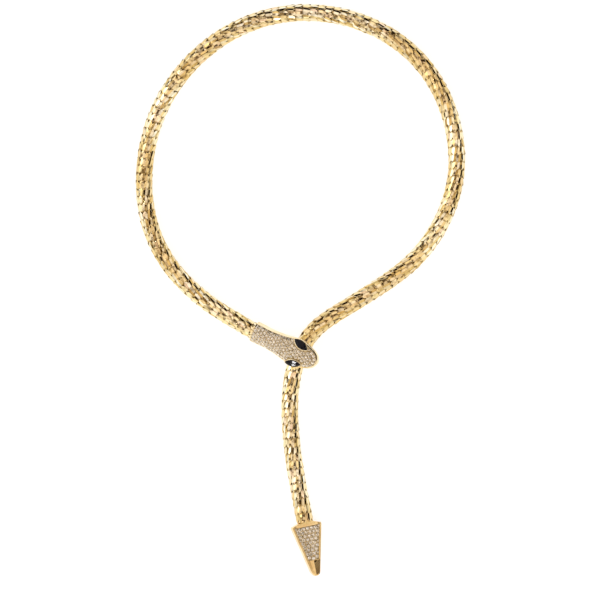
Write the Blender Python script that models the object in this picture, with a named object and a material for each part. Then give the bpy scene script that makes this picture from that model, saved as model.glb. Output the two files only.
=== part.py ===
# A snake necklace of collar length, lying on a flat surface at z = 0.
# A round chain of overlapping scales runs from the snake's head round the neck and back under
# the head, which holds it with a spring clip, and hangs on as a tail with an arrow-shaped tip.
# Lengths are in metres and angles in degrees. +Y runs up from the tail to the neck loop, +Z is up.

import math

import bpy
import numpy as np
from mathutils import Matrix, Vector
from mathutils.geometry import delaunay_2d_cdt

# Fit between pieces
CLEARANCE = 0.0003            # gap left between any two pieces

# Chain of scales
CHAIN_RADIUS = 0.0039         # over the tips of the scales
SCALE_LENGTH = 0.00344        # from one scale to the next behind it
SCALE_RISE = 0.00055          # tips of the scales above the valleys between them
SCALE_OVERHANG = 0.0005       # lean of each tip towards the tail
SCALES_ROUND = 7              # scales in one ring round the chain
TONGUE_RADIUS = 0.0027        # bare ends of the chain, held in the head and in the tail cap
TONGUE_LENGTH = 0.0029        # at the head
TAIL_TONGUE_LENGTH = 0.0010   # in the tail cap
SOCKET_SIDES = 24             # corners of the round sockets that hold them
SPLINE_STEPS = 40             # samples of the middle line between two points of the route

# Middle line of the chain, from the head's collar to the tail cap: x, y and the height at
# which the chain is held above where it would lie on the surface
CHAIN_ROUTE = (
    (-0.0207, -0.0183, 0.0038),
    (-0.0288, -0.0137, 0.0022),
    (-0.0362, -0.0092, 0.0011),
    (-0.0453, -0.0025, 0.0003),
    (-0.0547, 0.0067, 0.0),
    (-0.0621, 0.0176, 0.0),
    (-0.0667, 0.0292, 0.0),
    (-0.0689, 0.0525, 0.0),
    (-0.0638, 0.0757, 0.0),
    (-0.0517, 0.0959, 0.0),
    (-0.0340, 0.1113, 0.0),
    (-0.0119, 0.1203, 0.0),
    (0.0121, 0.1211, 0.0),
    (0.0353, 0.1136, 0.0),
    (0.0543, 0.0981, 0.0),
    (0.0656, 0.0764, 0.0),
    (0.0684, 0.0525, 0.0),
    (0.0621, 0.0301, 0.0),
    (0.0486, 0.0118, 0.0),
    (0.0310, -0.0012, 0.0),
    (0.0217, -0.0070, 0.0),
    (0.0128, -0.0125, 0.0),
    (0.0053, -0.0188, 0.0),
    (0.0000, -0.0270, 0.0),
    (-0.0031, -0.0358, 0.0),
    (-0.0047, -0.0465, 0.0),
    (-0.0047, -0.0597, 0.0),
    (-0.0036, -0.0715, 0.0),
    (-0.0019, -0.0830, 0.0),
    (0.0016, -0.1013, 0.0),
)

# Snake's head, measured from the collar's mouth along its own axis
HEAD_HEADING = -26.2          # direction of the nose in plan
HEAD_TILT = 12.0              # nose up
HEAD_ROLL = 12.0              # crown leans towards the tail side
HEAD_LENGTH = 0.0317
HEAD_HALF_WIDTH = 0.0063      # at the brow
HEAD_HEIGHT = 0.0047          # unit of the heights in the table below
COLLAR_WALL = 0.0017          # round the chain's end
HEAD_RIM = 0.0008             # plain metal round the stones
HEAD_WALL = 0.0012            # sides of the hollow underside
HOLLOW_CEILING = 0.0002       # top of the hollow, above the head's axis
HOLLOW_BACK = 0.0062          # from the collar's mouth to the hollow
HOLLOW_FRONT = 0.0028         # from the hollow to the nose

# Sections of the head: station as a share of HEAD_LENGTH, half width as a share of
# HEAD_HALF_WIDTH, and crown, widest line and jaw as shares of HEAD_HEIGHT from the axis
HEAD_SECTIONS = (
    # station, half width, crown, widest line, jaw
    (0.10, 0.75, 1.00, 0.00, 0.97),
    (0.22, 0.735, 0.97, 0.04, 0.92),
    (0.38, 0.79, 0.94, 0.10, 0.85),
    (0.50, 0.89, 0.92, 0.16, 0.80),
    (0.61, 0.98, 0.90, 0.20, 0.76),
    (0.70, 1.00, 0.86, 0.20, 0.73),
    (0.78, 0.92, 0.80, 0.18, 0.68),
    (0.86, 0.78, 0.71, 0.15, 0.61),
    (0.925, 0.64, 0.62, 0.12, 0.52),
    (0.965, 0.49, 0.54, 0.10, 0.44),
    (0.99, 0.31, 0.46, 0.09, 0.36),
    (1.00, 0.17, 0.40, 0.08, 0.30),
)
HEAD_SIDES = 24               # corners round one section
HEAD_STATIONS = 18            # sections that the head is lofted through

# Stones of the head
BED_THICKNESS = 0.0007        # metal under the stones
HEAD_STONE_RADIUS = 0.0007
HEAD_STONE_PITCH = 0.00156
STONE_RISE = 0.00034          # tables of the stones above the bed
STONE_SIDES = 8
TABLE_SHARE = 0.56            # of a stone's radius
STONE_MARGIN = 0.00008        # bare metal kept round every stone
SPREAD_ROUNDS = 3             # times that the stones are spread and the crowded ones left out
PUSH_STEPS = 80               # small moves in each round
PUSH_SHARE = 0.3              # of the overlap, taken up in one move
EDGE_SHARE = 0.45             # of a radius: stones that start nearer to an edge are left out
COLLAR_RIM = 0.0006           # plain metal at the collar's mouth
ARC_STEPS = 40                # steps in which the way round the dome is measured
FIELD_STEPS = 28              # sections of the stones' field

# Eyes: marquise stones, one each side of the head
EYE_STATION = 0.70 * HEAD_LENGTH
EYE_OUT = 0.715 * HEAD_HALF_WIDTH  # from the middle of the crown, measured round the dome
EYE_TURN = 18.0               # front ends turned towards the nose's middle line
EYE_LENGTH = 0.0073
EYE_WIDTH = 0.0034
EYE_HEIGHT = 0.0011
EYE_GIRDLE = 0.00035          # straight edge below the facets
EYE_TABLE_SHARE = 0.5
EYE_SIDES = 12
SEAT_SHARE = 0.4              # depth of the eye's seat as a share of BED_THICKNESS
SEAT_SLOPE = 0.00015          # width of the seat's sloping side
EYE_MARGIN = 0.00012          # metal kept outside the seat
EYE_PROBE = 0.0005            # short way over the dome that gives the eye's directions

# Spring clip under the head, round the crossing chain
CLIP_WALL = 0.0009
CLIP_WIDTH = 0.0048
CLIP_ARM_ANGLE = 25.0         # how far each arm reaches below the middle of the chain
CLIP_POST_LENGTH = 0.0032

# Arrow-shaped tail tip, measured from the cap's mouth along its own axis
TIP_HEADING = -78.6
TIP_ROLL = 10.0               # top leans away from the head's side
CAP_WALL = 0.0009
CAP_LENGTH = 0.0020
ARROW_LENGTH = 0.0229
ARROW_HALF_WIDTH = 0.0066
ARROW_POINT_HALF_WIDTH = 0.0016
ARROW_TOP = 0.0027            # flat rim above the chain's middle line
ARROW_EDGE = 0.0004           # rounding of the long edges
ARROW_SHOULDER = 0.0012       # length of the rounded corners
TIP_RIM = 0.0009              # plain metal round the stones
TIP_DOME = 0.00035            # middle of the stones' bed above its rim
TIP_FIELD_LENGTH = 0.0158     # stones reach this far from the arrow's base
TIP_STONE_RADIUS = 0.0008
TIP_STONE_PITCH = 0.00178
CORNER_POINTS = 5             # points in each corner of a section of the tip
CAP_SQUARENESS = 0.97         # corner radius of the cap's sections as a share of their size
FLARE_CURVE = 1.6             # how late the cap widens to the arrow

# Sections between the cap and the arrow: station as a share of CAP_LENGTH, share of the
# change from the cap's size to the arrow's, and corner radius as a share of the size
FLARE_SECTIONS = (
    # station, change, corner
    (0.72, 0.35, 0.55),
    (0.92, 0.70, 0.25),
)

# Sizes that follow from the ones above
SOCKET_RADIUS = TONGUE_RADIUS + CLEARANCE
SOCKET_DEPTH = TONGUE_LENGTH + CLEARANCE
TAIL_SOCKET_DEPTH = TAIL_TONGUE_LENGTH + CLEARANCE
COLLAR_RADIUS = SOCKET_RADIUS + COLLAR_WALL
CAP_RADIUS = SOCKET_RADIUS + CAP_WALL
TIP_LENGTH = CAP_LENGTH + ARROW_LENGTH
TINY = 0.000001 * CLEARANCE   # keeps divisions away from zero


def clear_scene():
    for old in list(bpy.data.objects):
        bpy.data.objects.remove(old, do_unlink=True)


def make_material(name, colour, roughness, metallic):
    material = bpy.data.materials.new(name)
    material.use_nodes = True
    shader = material.node_tree.nodes["Principled BSDF"]
    shader.inputs["Base Color"].default_value = (*colour, 1.0)
    shader.inputs["Roughness"].default_value = roughness
    shader.inputs["Metallic"].default_value = metallic
    material.diffuse_color = (*colour, 1.0)
    return material


def make_object(name, points, faces, material, parent, place=None, smooth_angle=None):
    mesh = bpy.data.meshes.new(name)
    mesh.from_pydata([tuple(point) for point in points], [], faces)
    mesh.materials.append(material)
    if smooth_angle is not None:
        mesh.shade_smooth()
        mesh.set_sharp_from_angle(angle=math.radians(smooth_angle))
    piece = bpy.data.objects.new(name, mesh)
    bpy.context.collection.objects.link(piece)
    piece.parent = parent
    if place is not None:
        piece.matrix_local = place
    return piece


def combine(piece, other, operation):
    # the other solid stays in the scene as a hidden guide
    other.hide_render = True
    other.display_type = "WIRE"
    change = piece.modifiers.new(operation.title() + "." + other.name, "BOOLEAN")
    change.operation = operation
    change.object = other


def loft(rings):
    # closed solid through rings of equally many points, each counter-clockwise seen from the front
    size = len(rings[0])
    points = [point for ring in rings for point in ring]
    faces = []
    for row in range(len(rings) - 1):
        for column in range(size):
            following = (column + 1) % size
            low = row * size
            high = low + size
            faces.append((low + column, low + following, high + following, high + column))
    last = (len(rings) - 1) * size
    faces.append(tuple(reversed(range(size))))
    faces.append(tuple(range(last, last + size)))
    return points, faces


def circle_ring(station, radius, sides):
    turns = [math.tau * corner / sides for corner in range(sides)]
    return [(station, radius * math.cos(turn), radius * math.sin(turn)) for turn in turns]


def socket_shape(depth):
    # cylinder that cuts the socket for one end of the chain
    return loft([circle_ring(station, SOCKET_RADIUS, SOCKET_SIDES) for station in (-depth, depth)])


def frame_matrix(origin, heading, tilt, roll):
    # local x along the heading, local y to its left, local z up; a positive roll lifts the left
    turn = Matrix.Rotation(math.radians(heading), 4, "Z")
    lift = Matrix.Rotation(math.radians(-tilt), 4, "Y")
    lean = Matrix.Rotation(math.radians(roll), 4, "X")
    return Matrix.Translation(origin) @ turn @ lift @ lean


# Chain

def spline_through(points, start_direction, end_direction):
    # cubic spline through the points with given directions at its two ends, sampled finely
    knots = np.array(points)
    chords = np.linalg.norm(np.diff(knots, axis=0), axis=1)
    count = len(knots)
    system = np.zeros((count, count))
    sides = np.zeros((count, 3))
    system[0, 0] = system[-1, -1] = 1.0
    sides[0] = start_direction
    sides[-1] = end_direction
    for row in range(1, count - 1):
        before = chords[row - 1]
        after = chords[row]
        system[row, row - 1] = after
        system[row, row] = 2.0 * (before + after)
        system[row, row + 1] = before
        slope_before = (knots[row] - knots[row - 1]) / before
        slope_after = (knots[row + 1] - knots[row]) / after
        sides[row] = 3.0 * (after * slope_before + before * slope_after)
    slopes = np.linalg.solve(system, sides)
    samples = []
    for row in range(count - 1):
        for step in range(SPLINE_STEPS):
            share = step / SPLINE_STEPS
            square = share * share
            cube = square * share
            samples.append(
                (2 * cube - 3 * square + 1) * knots[row]
                + (cube - 2 * square + share) * chords[row] * slopes[row]
                + (3 * square - 2 * cube) * knots[row + 1]
                + (cube - square) * chords[row] * slopes[row + 1]
            )
    samples.append(knots[-1])
    return np.array(samples)


class Route:
    # the chain's middle line, read by the distance along it

    def __init__(self):
        knots = [(x, y, CHAIN_RADIUS + lift) for x, y, lift in CHAIN_ROUTE]
        start = frame_matrix((0, 0, 0), HEAD_HEADING, HEAD_TILT, 0).to_3x3() @ Vector((-1, 0, 0))
        end = frame_matrix((0, 0, 0), TIP_HEADING, 0, 0).to_3x3() @ Vector((1, 0, 0))
        self.samples = spline_through(knots, start, end)
        self.samples[:, 2] = np.maximum(self.samples[:, 2], CHAIN_RADIUS)
        steps = np.linalg.norm(np.diff(self.samples, axis=0), axis=1)
        self.distances = np.concatenate([[0.0], np.cumsum(steps)])
        self.length = float(self.distances[-1])
        self.start_direction = start
        self.end_direction = end

    def point(self, distance):
        inside = min(max(distance, 0.0), self.length)
        place = Vector([float(np.interp(inside, self.distances, self.samples[:, axis])) for axis in range(3)])
        if distance < 0.0:
            place += self.start_direction * distance
        if distance > self.length:
            place += self.end_direction * (distance - self.length)
        return place

    def direction(self, distance):
        if distance <= 0.0:
            return self.start_direction.copy()
        if distance >= self.length:
            return self.end_direction.copy()
        reach = SCALE_LENGTH / 4
        return (self.point(distance + reach) - self.point(distance - reach)).normalized()

    def axes(self, distance):
        # directions along the chain, to its left and up
        along = self.direction(distance)
        left = Vector((0, 0, 1)).cross(along).normalized()
        return along, left, along.cross(left)


def make_chain(route, material, parent):
    # rings at half the length of a scale; each ring's tips lie between those of its neighbours
    rows = max(round(route.length / (SCALE_LENGTH / 2)), 4)
    corners = 2 * SCALES_ROUND
    rings = [(-TONGUE_LENGTH, None), (0.0, None)]
    rings += [(route.length * row / rows, row) for row in range(rows + 1)]
    rings += [(route.length, None), (route.length + TAIL_TONGUE_LENGTH, None)]
    points = []
    for distance, row in rings:
        middle = route.point(distance)
        along, left, up = route.axes(distance)
        for corner in range(corners):
            turn = math.tau * corner / corners - math.pi / 2
            radius = TONGUE_RADIUS if row is None else CHAIN_RADIUS - SCALE_RISE
            lean = 0.0
            if row is not None and 0 < row < rows and (row + corner) % 2 == 0:
                radius = CHAIN_RADIUS
                lean = SCALE_OVERHANG
            points.append(middle + radius * (math.cos(turn) * left + math.sin(turn) * up) + lean * along)
    faces = [tuple(reversed(range(corners)))]
    for index in range(len(rings) - 1):
        row = rings[index][1]
        for corner in range(corners):
            following = (corner + 1) % corners
            near = index * corners + corner
            near_next = index * corners + following
            far = near + corners
            far_next = near_next + corners
            if row is not None and (row + corner) % 2 == 0:
                faces += [(near, near_next, far), (near_next, far_next, far)]
            else:
                faces += [(near, near_next, far_next), (near, far_next, far)]
    last = (len(rings) - 1) * corners
    faces.append(tuple(range(last, last + corners)))
    return make_object("snake_chain", points, faces, material, parent)


# Stone-set beds, laid out flat and then bent over the surface that carries them

def signed_distances(points, polygon):
    # distance of each point from the polygon's edge, positive inside, and the way inwards
    start = np.array(polygon)
    edge = np.roll(start, -1, axis=0) - start
    offset = points[:, None, :] - start[None, :, :]
    share = np.clip((offset * edge).sum(axis=2) / (edge * edge).sum(axis=1), 0.0, 1.0)
    gap = offset - share[..., None] * edge
    distance = np.linalg.norm(gap, axis=2)
    nearest = distance.argmin(axis=1)
    rows = np.arange(len(points))
    best = distance[rows, nearest]
    way = gap[rows, nearest] / np.maximum(best, TINY)[:, None]
    end = start + edge
    crosses = (start[:, 1] > points[:, 1:2]) != (end[:, 1] > points[:, 1:2])
    rise = np.where(edge[:, 1] == 0.0, TINY, edge[:, 1])
    where = start[:, 0] + (points[:, 1:2] - start[:, 1]) * edge[:, 0] / rise
    inside = (crosses & (points[:, 0:1] < where)).sum(axis=1) % 2 == 1
    sign = np.where(inside, 1.0, -1.0)
    return best * sign, way * sign[:, None]


def push_apart(points, walls, room, pitch):
    # each step moves stones that are too close apart, and those too near a wall back from it
    for _ in range(PUSH_STEPS):
        gap = points[:, None, :] - points[None, :, :]
        distance = np.linalg.norm(gap, axis=2) + np.eye(len(points))
        push = np.clip(pitch - distance, 0.0, None) / distance
        points = points + PUSH_SHARE * (gap * push[..., None]).sum(axis=1)
        for wall, side in walls:
            distance, way = signed_distances(points, wall)
            short = np.clip(room - distance * side, 0.0, None)
            points = points + way * side * short[:, None]
    return points


def spread_stones(outline, holes, radius, pitch):
    # starts from staggered rows and lets the stones push each other apart inside the outline
    corners = np.array(outline)
    low = corners.min(axis=0)
    high = corners.max(axis=0)
    room = radius + STONE_MARGIN
    across = pitch * math.sqrt(3) / 2
    seeds = []
    rows = int((high[0] - low[0]) / across) + 1
    columns = int((high[1] - low[1]) / pitch / 2) + 2
    for row in range(rows):
        for column in range(-columns, columns + 1):
            seeds.append((low[0] + room + row * across, (column + 0.5 * (row % 2)) * pitch))
    points = np.array(seeds)
    walls = [(outline, 1.0)] + [(hole, -1.0) for hole in holes]
    for wall, side in walls:
        distance, _ = signed_distances(points, wall)
        points = points[distance * side > EDGE_SHARE * radius]
    for _ in range(SPREAD_ROUNDS):
        points = push_apart(points, walls, room, pitch)
        kept = []
        for point in points:
            clear = all(np.linalg.norm(point - other) > 2 * radius + STONE_MARGIN / 2 for other in kept)
            for wall, side in walls:
                distance, _ = signed_distances(point[None, :], wall)
                clear = clear and distance[0] * side > room - STONE_MARGIN / 2
            if clear:
                kept.append(point)
        points = np.array(kept)
    return [tuple(point) for point in points]


def triangulate(loops, loose):
    # constrained triangles inside the first loop; the work is done in millimetres
    flat = [point for loop in loops for point in loop] + list(loose)
    edges = []
    first = 0
    for loop in loops:
        count = len(loop)
        edges += [(first + index, first + (index + 1) % count) for index in range(count)]
        first += count
    scaled = [Vector((point[0] * 1000.0, point[1] * 1000.0)) for point in flat]
    _, _, faces, sources, _, _ = delaunay_2d_cdt(scaled, edges, [], 1, 1e-5)
    origin = [found[0] for found in sources]
    return [tuple(origin[corner] for corner in face) for face in faces]


def polygon_ring(centre, radius, sides, turn):
    angles = [turn + math.tau * corner / sides for corner in range(sides)]
    return [(centre[0] + radius * math.cos(angle), centre[1] + radius * math.sin(angle)) for angle in angles]


def field_outline(side):
    # outline of a field from its left side, with points across its two straight ends
    steps = 8
    shares = [1 - 2 * step / steps for step in range(1, steps)]
    front = [(side[-1][0], -share * side[-1][1]) for share in shares]
    back = [(side[0][0], share * side[0][1]) for share in shares]
    return [(station, -out) for station, out in side] + front + side[::-1] + back


def field_inside(side):
    # points that let the underside of a bed follow its dome
    shares = (-0.66, -0.33, 0.0, 0.33, 0.66)
    return [(station, share * out) for station, out in side[1:-1:2] for share in shares]


def bed_solid(surface, side, stones, radius, seats, top, bottom):
    # closed solid between two heights over the surface, with cut stones and seats on its top
    outline = field_outline(side)
    loops = [outline]
    places = [surface(x, y, top) for x, y in outline]
    for number, centre in enumerate(stones):
        turn = math.pi / STONE_SIDES + number
        girdle = polygon_ring(centre, radius, STONE_SIDES, turn)
        table = polygon_ring(centre, radius * TABLE_SHARE, STONE_SIDES, turn)
        loops += [girdle, table]
        places += [surface(x, y, top) for x, y in girdle]
        places += [surface(x, y, top + STONE_RISE) for x, y in table]
    for rim, floor, floor_places in seats:
        loops += [rim, floor]
        places += [surface(x, y, top) for x, y in rim]
        places += floor_places
    loose = [] if stones else field_inside(side)
    places += [surface(x, y, top) for x, y in loose]
    faces = triangulate(loops, loose)
    below = field_inside(side)
    first = len(places)
    places += [surface(x, y, bottom) for x, y in outline + below]
    faces += [tuple(first + corner for corner in reversed(face)) for face in triangulate([outline], below)]
    count = len(outline)
    for index in range(count):
        following = (index + 1) % count
        faces.append((first + index, first + following, following, index))
    return places, faces


def marquise(length, width, sides):
    # pointed oval from two equal arcs, counter-clockwise from its front point
    arc_radius = (length ** 2 + width ** 2) / (4 * width)
    half_angle = math.asin(length / 2 / arc_radius)
    half = sides // 2
    upper = []
    for step in range(half):
        angle = half_angle * (1 - 2 * step / half)
        upper.append((arc_radius * math.sin(angle), arc_radius * math.cos(angle) - arc_radius + width / 2))
    return upper + [(-x, -y) for x, y in upper]


# Snake's head

def head_rows():
    rows = [(0.0, COLLAR_RADIUS, COLLAR_RADIUS, 0.0, COLLAR_RADIUS)]
    for station, width, crown, widest, jaw in HEAD_SECTIONS:
        heights = (crown * HEAD_HEIGHT, widest * HEAD_HEIGHT, jaw * HEAD_HEIGHT)
        rows.append((station * HEAD_LENGTH, width * HEAD_HALF_WIDTH, *heights))
    return rows


def head_section(station):
    # half width, crown, widest line and jaw at a station, smooth between the table's rows
    rows = head_rows()
    index = 0
    while index < len(rows) - 2 and station > rows[index + 1][0]:
        index += 1
    low = rows[index]
    high = rows[index + 1]
    before = rows[max(index - 1, 0)]
    after = rows[min(index + 2, len(rows) - 1)]
    span = high[0] - low[0]
    share = min(max((station - low[0]) / span, 0.0), 1.0)
    values = []
    for column in range(1, 5):
        slope_low = (high[column] - before[column]) / (high[0] - before[0])
        slope_high = (after[column] - low[column]) / (after[0] - low[0])
        square = share * share
        cube = square * share
        values.append(
            (2 * cube - 3 * square + 1) * low[column]
            + (cube - 2 * square + share) * span * slope_low
            + (3 * square - 2 * cube) * high[column]
            + (cube - square) * span * slope_high
        )
    return values


def dome_arc(width, rise):
    # distance round the dome from its middle, for angles from 0 to a right angle
    angles = np.linspace(0.0, math.pi / 2, ARC_STEPS)
    steps = np.hypot(np.diff(width * np.sin(angles)), np.diff(rise * np.cos(angles)))
    return angles, np.concatenate([[0.0], np.cumsum(steps)])


def head_surface(station, out, height):
    # point over the crown: station along the head, distance out round the dome, height above it
    width, crown, widest, _ = head_section(station)
    rise = crown - widest
    angles, arc = dome_arc(width, rise)
    angle = math.copysign(float(np.interp(abs(out), arc, angles)), out)
    normal = Vector((0.0, math.sin(angle) / width, math.cos(angle) / rise)).normalized()
    return Vector((station, width * math.sin(angle), widest + rise * math.cos(angle))) + height * normal


def head_edge(station, inset):
    # distance round the dome to a line that runs inside the head's outline
    width, crown, widest, _ = head_section(min(station + inset / 2, HEAD_LENGTH))
    angles, arc = dome_arc(width, crown - widest)
    reach = max((width - inset) / width, 0.1)
    return float(np.interp(math.asin(reach), angles, arc))


def eye_reach(station):
    # outermost distance round the dome that an eye's seat reaches at a station
    rim = eye_outline(1, CLEARANCE + SEAT_SLOPE)
    reach = 0.0
    for (x_low, y_low), (x_high, y_high) in zip(rim, rim[1:] + rim[:1]):
        if min(x_low, x_high) <= station <= max(x_low, x_high) and x_low != x_high:
            share = (station - x_low) / (x_high - x_low)
            reach = max(reach, y_low + share * (y_high - y_low))
    return reach


def head_field(grow):
    # the field narrows with the head and bulges where an eye reaches past it
    start = COLLAR_RIM - grow
    end = HEAD_LENGTH - HEAD_RIM + grow
    outer_arc = eye_outline(1, CLEARANCE + SEAT_SLOPE)[:EYE_SIDES // 2 + 1]
    corners = [station for station, _ in outer_arc]
    stations = list(corners)
    for step in range(FIELD_STEPS + 1):
        share = step / FIELD_STEPS
        station = start + (end - start) * (share + math.sin(math.pi / 2 * share)) / 2
        if min(abs(station - corner) for corner in corners) > CLEARANCE:
            stations.append(station)
    side = []
    for station in sorted(stations):
        out = max(head_edge(station, HEAD_RIM), eye_reach(station) + EYE_MARGIN)
        side.append((station, out + grow))
    return side


def eye_outline(side, grow):
    turn = math.radians(-side * EYE_TURN)
    points = []
    for x, y in marquise(EYE_LENGTH + 2 * grow, EYE_WIDTH + 2 * grow, EYE_SIDES):
        along = EYE_STATION + x * math.cos(turn) - y * math.sin(turn)
        out = side * EYE_OUT + x * math.sin(turn) + y * math.cos(turn)
        points.append((along, out))
    return points


def eye_frame(side):
    # local x along the eye towards the nose, local z out of the dome
    origin = head_surface(EYE_STATION, side * EYE_OUT, 0.0)
    ahead = head_surface(EYE_STATION + EYE_PROBE, side * EYE_OUT, 0.0) - origin
    beside = head_surface(EYE_STATION, side * EYE_OUT + EYE_PROBE, 0.0) - origin
    normal = ahead.cross(beside).normalized()
    forward = (ahead - normal * ahead.dot(normal)).normalized()
    axes = Matrix((forward, normal.cross(forward), normal)).transposed().to_4x4()
    return Matrix.Translation(origin) @ axes @ Matrix.Rotation(math.radians(-side * EYE_TURN), 4, "Z")


def eye_seat(side):
    # rim of the seat on the dome, and its flat floor a little smaller
    depth = SEAT_SHARE * BED_THICKNESS
    frame = eye_frame(side)
    flat = marquise(EYE_LENGTH + 2 * CLEARANCE, EYE_WIDTH + 2 * CLEARANCE, EYE_SIDES)
    places = [frame @ Vector((x, y, -depth)) for x, y in flat]
    return eye_outline(side, CLEARANCE + SEAT_SLOPE), eye_outline(side, CLEARANCE), places


def make_eye(name, side, material, parent, head_place):
    base = CLEARANCE - SEAT_SHARE * BED_THICKNESS
    rings = []
    for share, height in ((1.0, base), (1.0, EYE_GIRDLE), (EYE_TABLE_SHARE, EYE_HEIGHT)):
        outline = marquise(EYE_LENGTH, EYE_WIDTH, EYE_SIDES)
        rings.append([(x * share, y * share, height) for x, y in outline])
    points, faces = loft(rings)
    return make_object(name, points, faces, material, parent, head_place @ eye_frame(side))


def make_head(route, gold, crystal, black, parent):
    place = frame_matrix(route.point(-CLEARANCE), HEAD_HEADING, HEAD_TILT, HEAD_ROLL)
    rings = []
    for index in range(HEAD_STATIONS + 1):
        share = index / HEAD_STATIONS
        station = HEAD_LENGTH * (share + math.sin(math.pi / 2 * share)) / 2
        width, crown, widest, jaw = head_section(station)
        ring = []
        for corner in range(HEAD_SIDES):
            turn = math.tau * corner / HEAD_SIDES
            height = (crown - widest) if math.sin(turn) > 0 else (jaw + widest)
            ring.append((station, width * math.cos(turn), widest + height * math.sin(turn)))
        rings.append(ring)
    points, faces = loft(rings)
    casting = make_object("head_casting", points, faces, gold, parent, place, smooth_angle=40)

    socket = make_object(
        "guide_head_socket",
        *socket_shape(SOCKET_DEPTH), gold, parent, place,
    )
    combine(casting, socket, "DIFFERENCE")

    low = -(BED_THICKNESS + CLEARANCE)
    high = 3 * STONE_RISE
    pocket = make_object(
        "guide_head_pocket",
        *bed_solid(head_surface, head_field(CLEARANCE), [], 0.0, [], high, low),
        gold, parent, place,
    )
    combine(casting, pocket, "DIFFERENCE")

    stations = np.linspace(HOLLOW_BACK, HEAD_LENGTH - HOLLOW_FRONT, 10)
    widths = [head_section(station)[0] - HEAD_WALL for station in stations]
    deep = 2 * HEAD_HEIGHT
    outline = [(station, -width) for station, width in zip(stations, widths)]
    outline += [(station, width) for station, width in reversed(list(zip(stations, widths)))]
    floor = [(x, y, -deep) for x, y in outline]
    ceiling = [(x, y, HOLLOW_CEILING) for x, y in outline]
    hollow = make_object("guide_head_hollow", *loft([floor, ceiling]), gold, parent, place)
    combine(casting, hollow, "DIFFERENCE")

    seats = [eye_seat(side) for side in (1, -1)]
    holes = [seat[0] for seat in seats]
    field = head_field(0.0)
    stones = spread_stones(field_outline(field), holes, HEAD_STONE_RADIUS, HEAD_STONE_PITCH)
    points, faces = bed_solid(
        head_surface, field, stones, HEAD_STONE_RADIUS, seats, 0.0, -BED_THICKNESS
    )
    make_object("head_pave", points, faces, crystal, parent, place)
    make_eye("eye_left", 1, black, parent, place)
    make_eye("eye_right", -1, black, parent, place)
    return place


def make_clip(route, head_place, steel, parent):
    # the chain crosses under the head where its middle line meets the head's axis in plan
    origin = head_place.translation
    axis = head_place.to_3x3() @ Vector((1, 0, 0))
    sideways = Vector((-axis.y, axis.x, 0)).normalized()
    distances = np.linspace(route.length / 2, route.length, 4000)
    crossing = min(distances, key=lambda d: abs((route.point(d) - origin).dot(sideways)))
    along, left, up = route.axes(crossing)
    axes = Matrix((along, left, up)).transposed().to_4x4()
    place = Matrix.Translation(route.point(crossing)) @ axes

    bore = CHAIN_RADIUS + CLEARANCE
    outer = bore + CLIP_WALL
    half = CLIP_WIDTH / 2
    steps = 18
    start = math.radians(-CLIP_ARM_ANGLE)
    end = math.pi - start
    rings = []
    for step in range(steps + 1):
        turn = start + (end - start) * step / steps
        corners = ((-half, bore), (half, bore), (half, outer), (-half, outer))
        rings.append([(x, radius * math.cos(turn), radius * math.sin(turn)) for x, radius in corners])
    points, faces = loft(rings)
    clip = make_object("head_clip", points, faces, steel, parent, place, smooth_angle=40)

    # the post stands square to the head and reaches up to the ceiling of its hollow
    local = head_place.inverted() @ place.translation
    length = CLIP_POST_LENGTH / 2
    width = half - CLEARANCE
    top = HOLLOW_CEILING - CLEARANCE
    foot = local.z + bore + CLIP_WALL / 3
    corners = ((-width, -length), (-width, length), (width, length), (width, -length))
    rings = [[(local.x + y, local.y + x, level) for x, y in corners] for level in (foot, top)]
    points, faces = loft(rings)
    post = make_object("guide_clip_post", points, faces, steel, parent, head_place)
    combine(clip, post, "UNION")
    return place


# Arrow-shaped tail tip

def arrow_half_width(station):
    share = (station - CAP_LENGTH) / ARROW_LENGTH
    return ARROW_HALF_WIDTH + (ARROW_POINT_HALF_WIDTH - ARROW_HALF_WIDTH) * share


def rounded_ring(station, half_width, top, bottom, corner):
    # section with straight sides and round corners, counter-clockwise seen from the front
    centres = (
        (half_width - corner, top - corner, 0.0),
        (corner - half_width, top - corner, math.pi / 2),
        (corner - half_width, corner - bottom, math.pi),
        (half_width - corner, corner - bottom, 1.5 * math.pi),
    )
    ring = []
    for across, height, start in centres:
        for step in range(CORNER_POINTS):
            turn = start + math.pi / 2 * step / (CORNER_POINTS - 1)
            ring.append((station, across + corner * math.cos(turn), height + corner * math.sin(turn)))
    return ring


def tip_surface(station, out, height):
    width = arrow_half_width(station) - TIP_RIM
    dome = TIP_DOME * max(1.0 - (out / width) ** 2, 0.0)
    return Vector((station, out, ARROW_TOP + dome + height))


def tip_field(grow):
    start = CAP_LENGTH + TIP_RIM - grow
    end = CAP_LENGTH + TIP_FIELD_LENGTH + grow
    stations = np.linspace(start, end, 10)
    return [(station, arrow_half_width(station) - TIP_RIM + grow) for station in stations]


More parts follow.
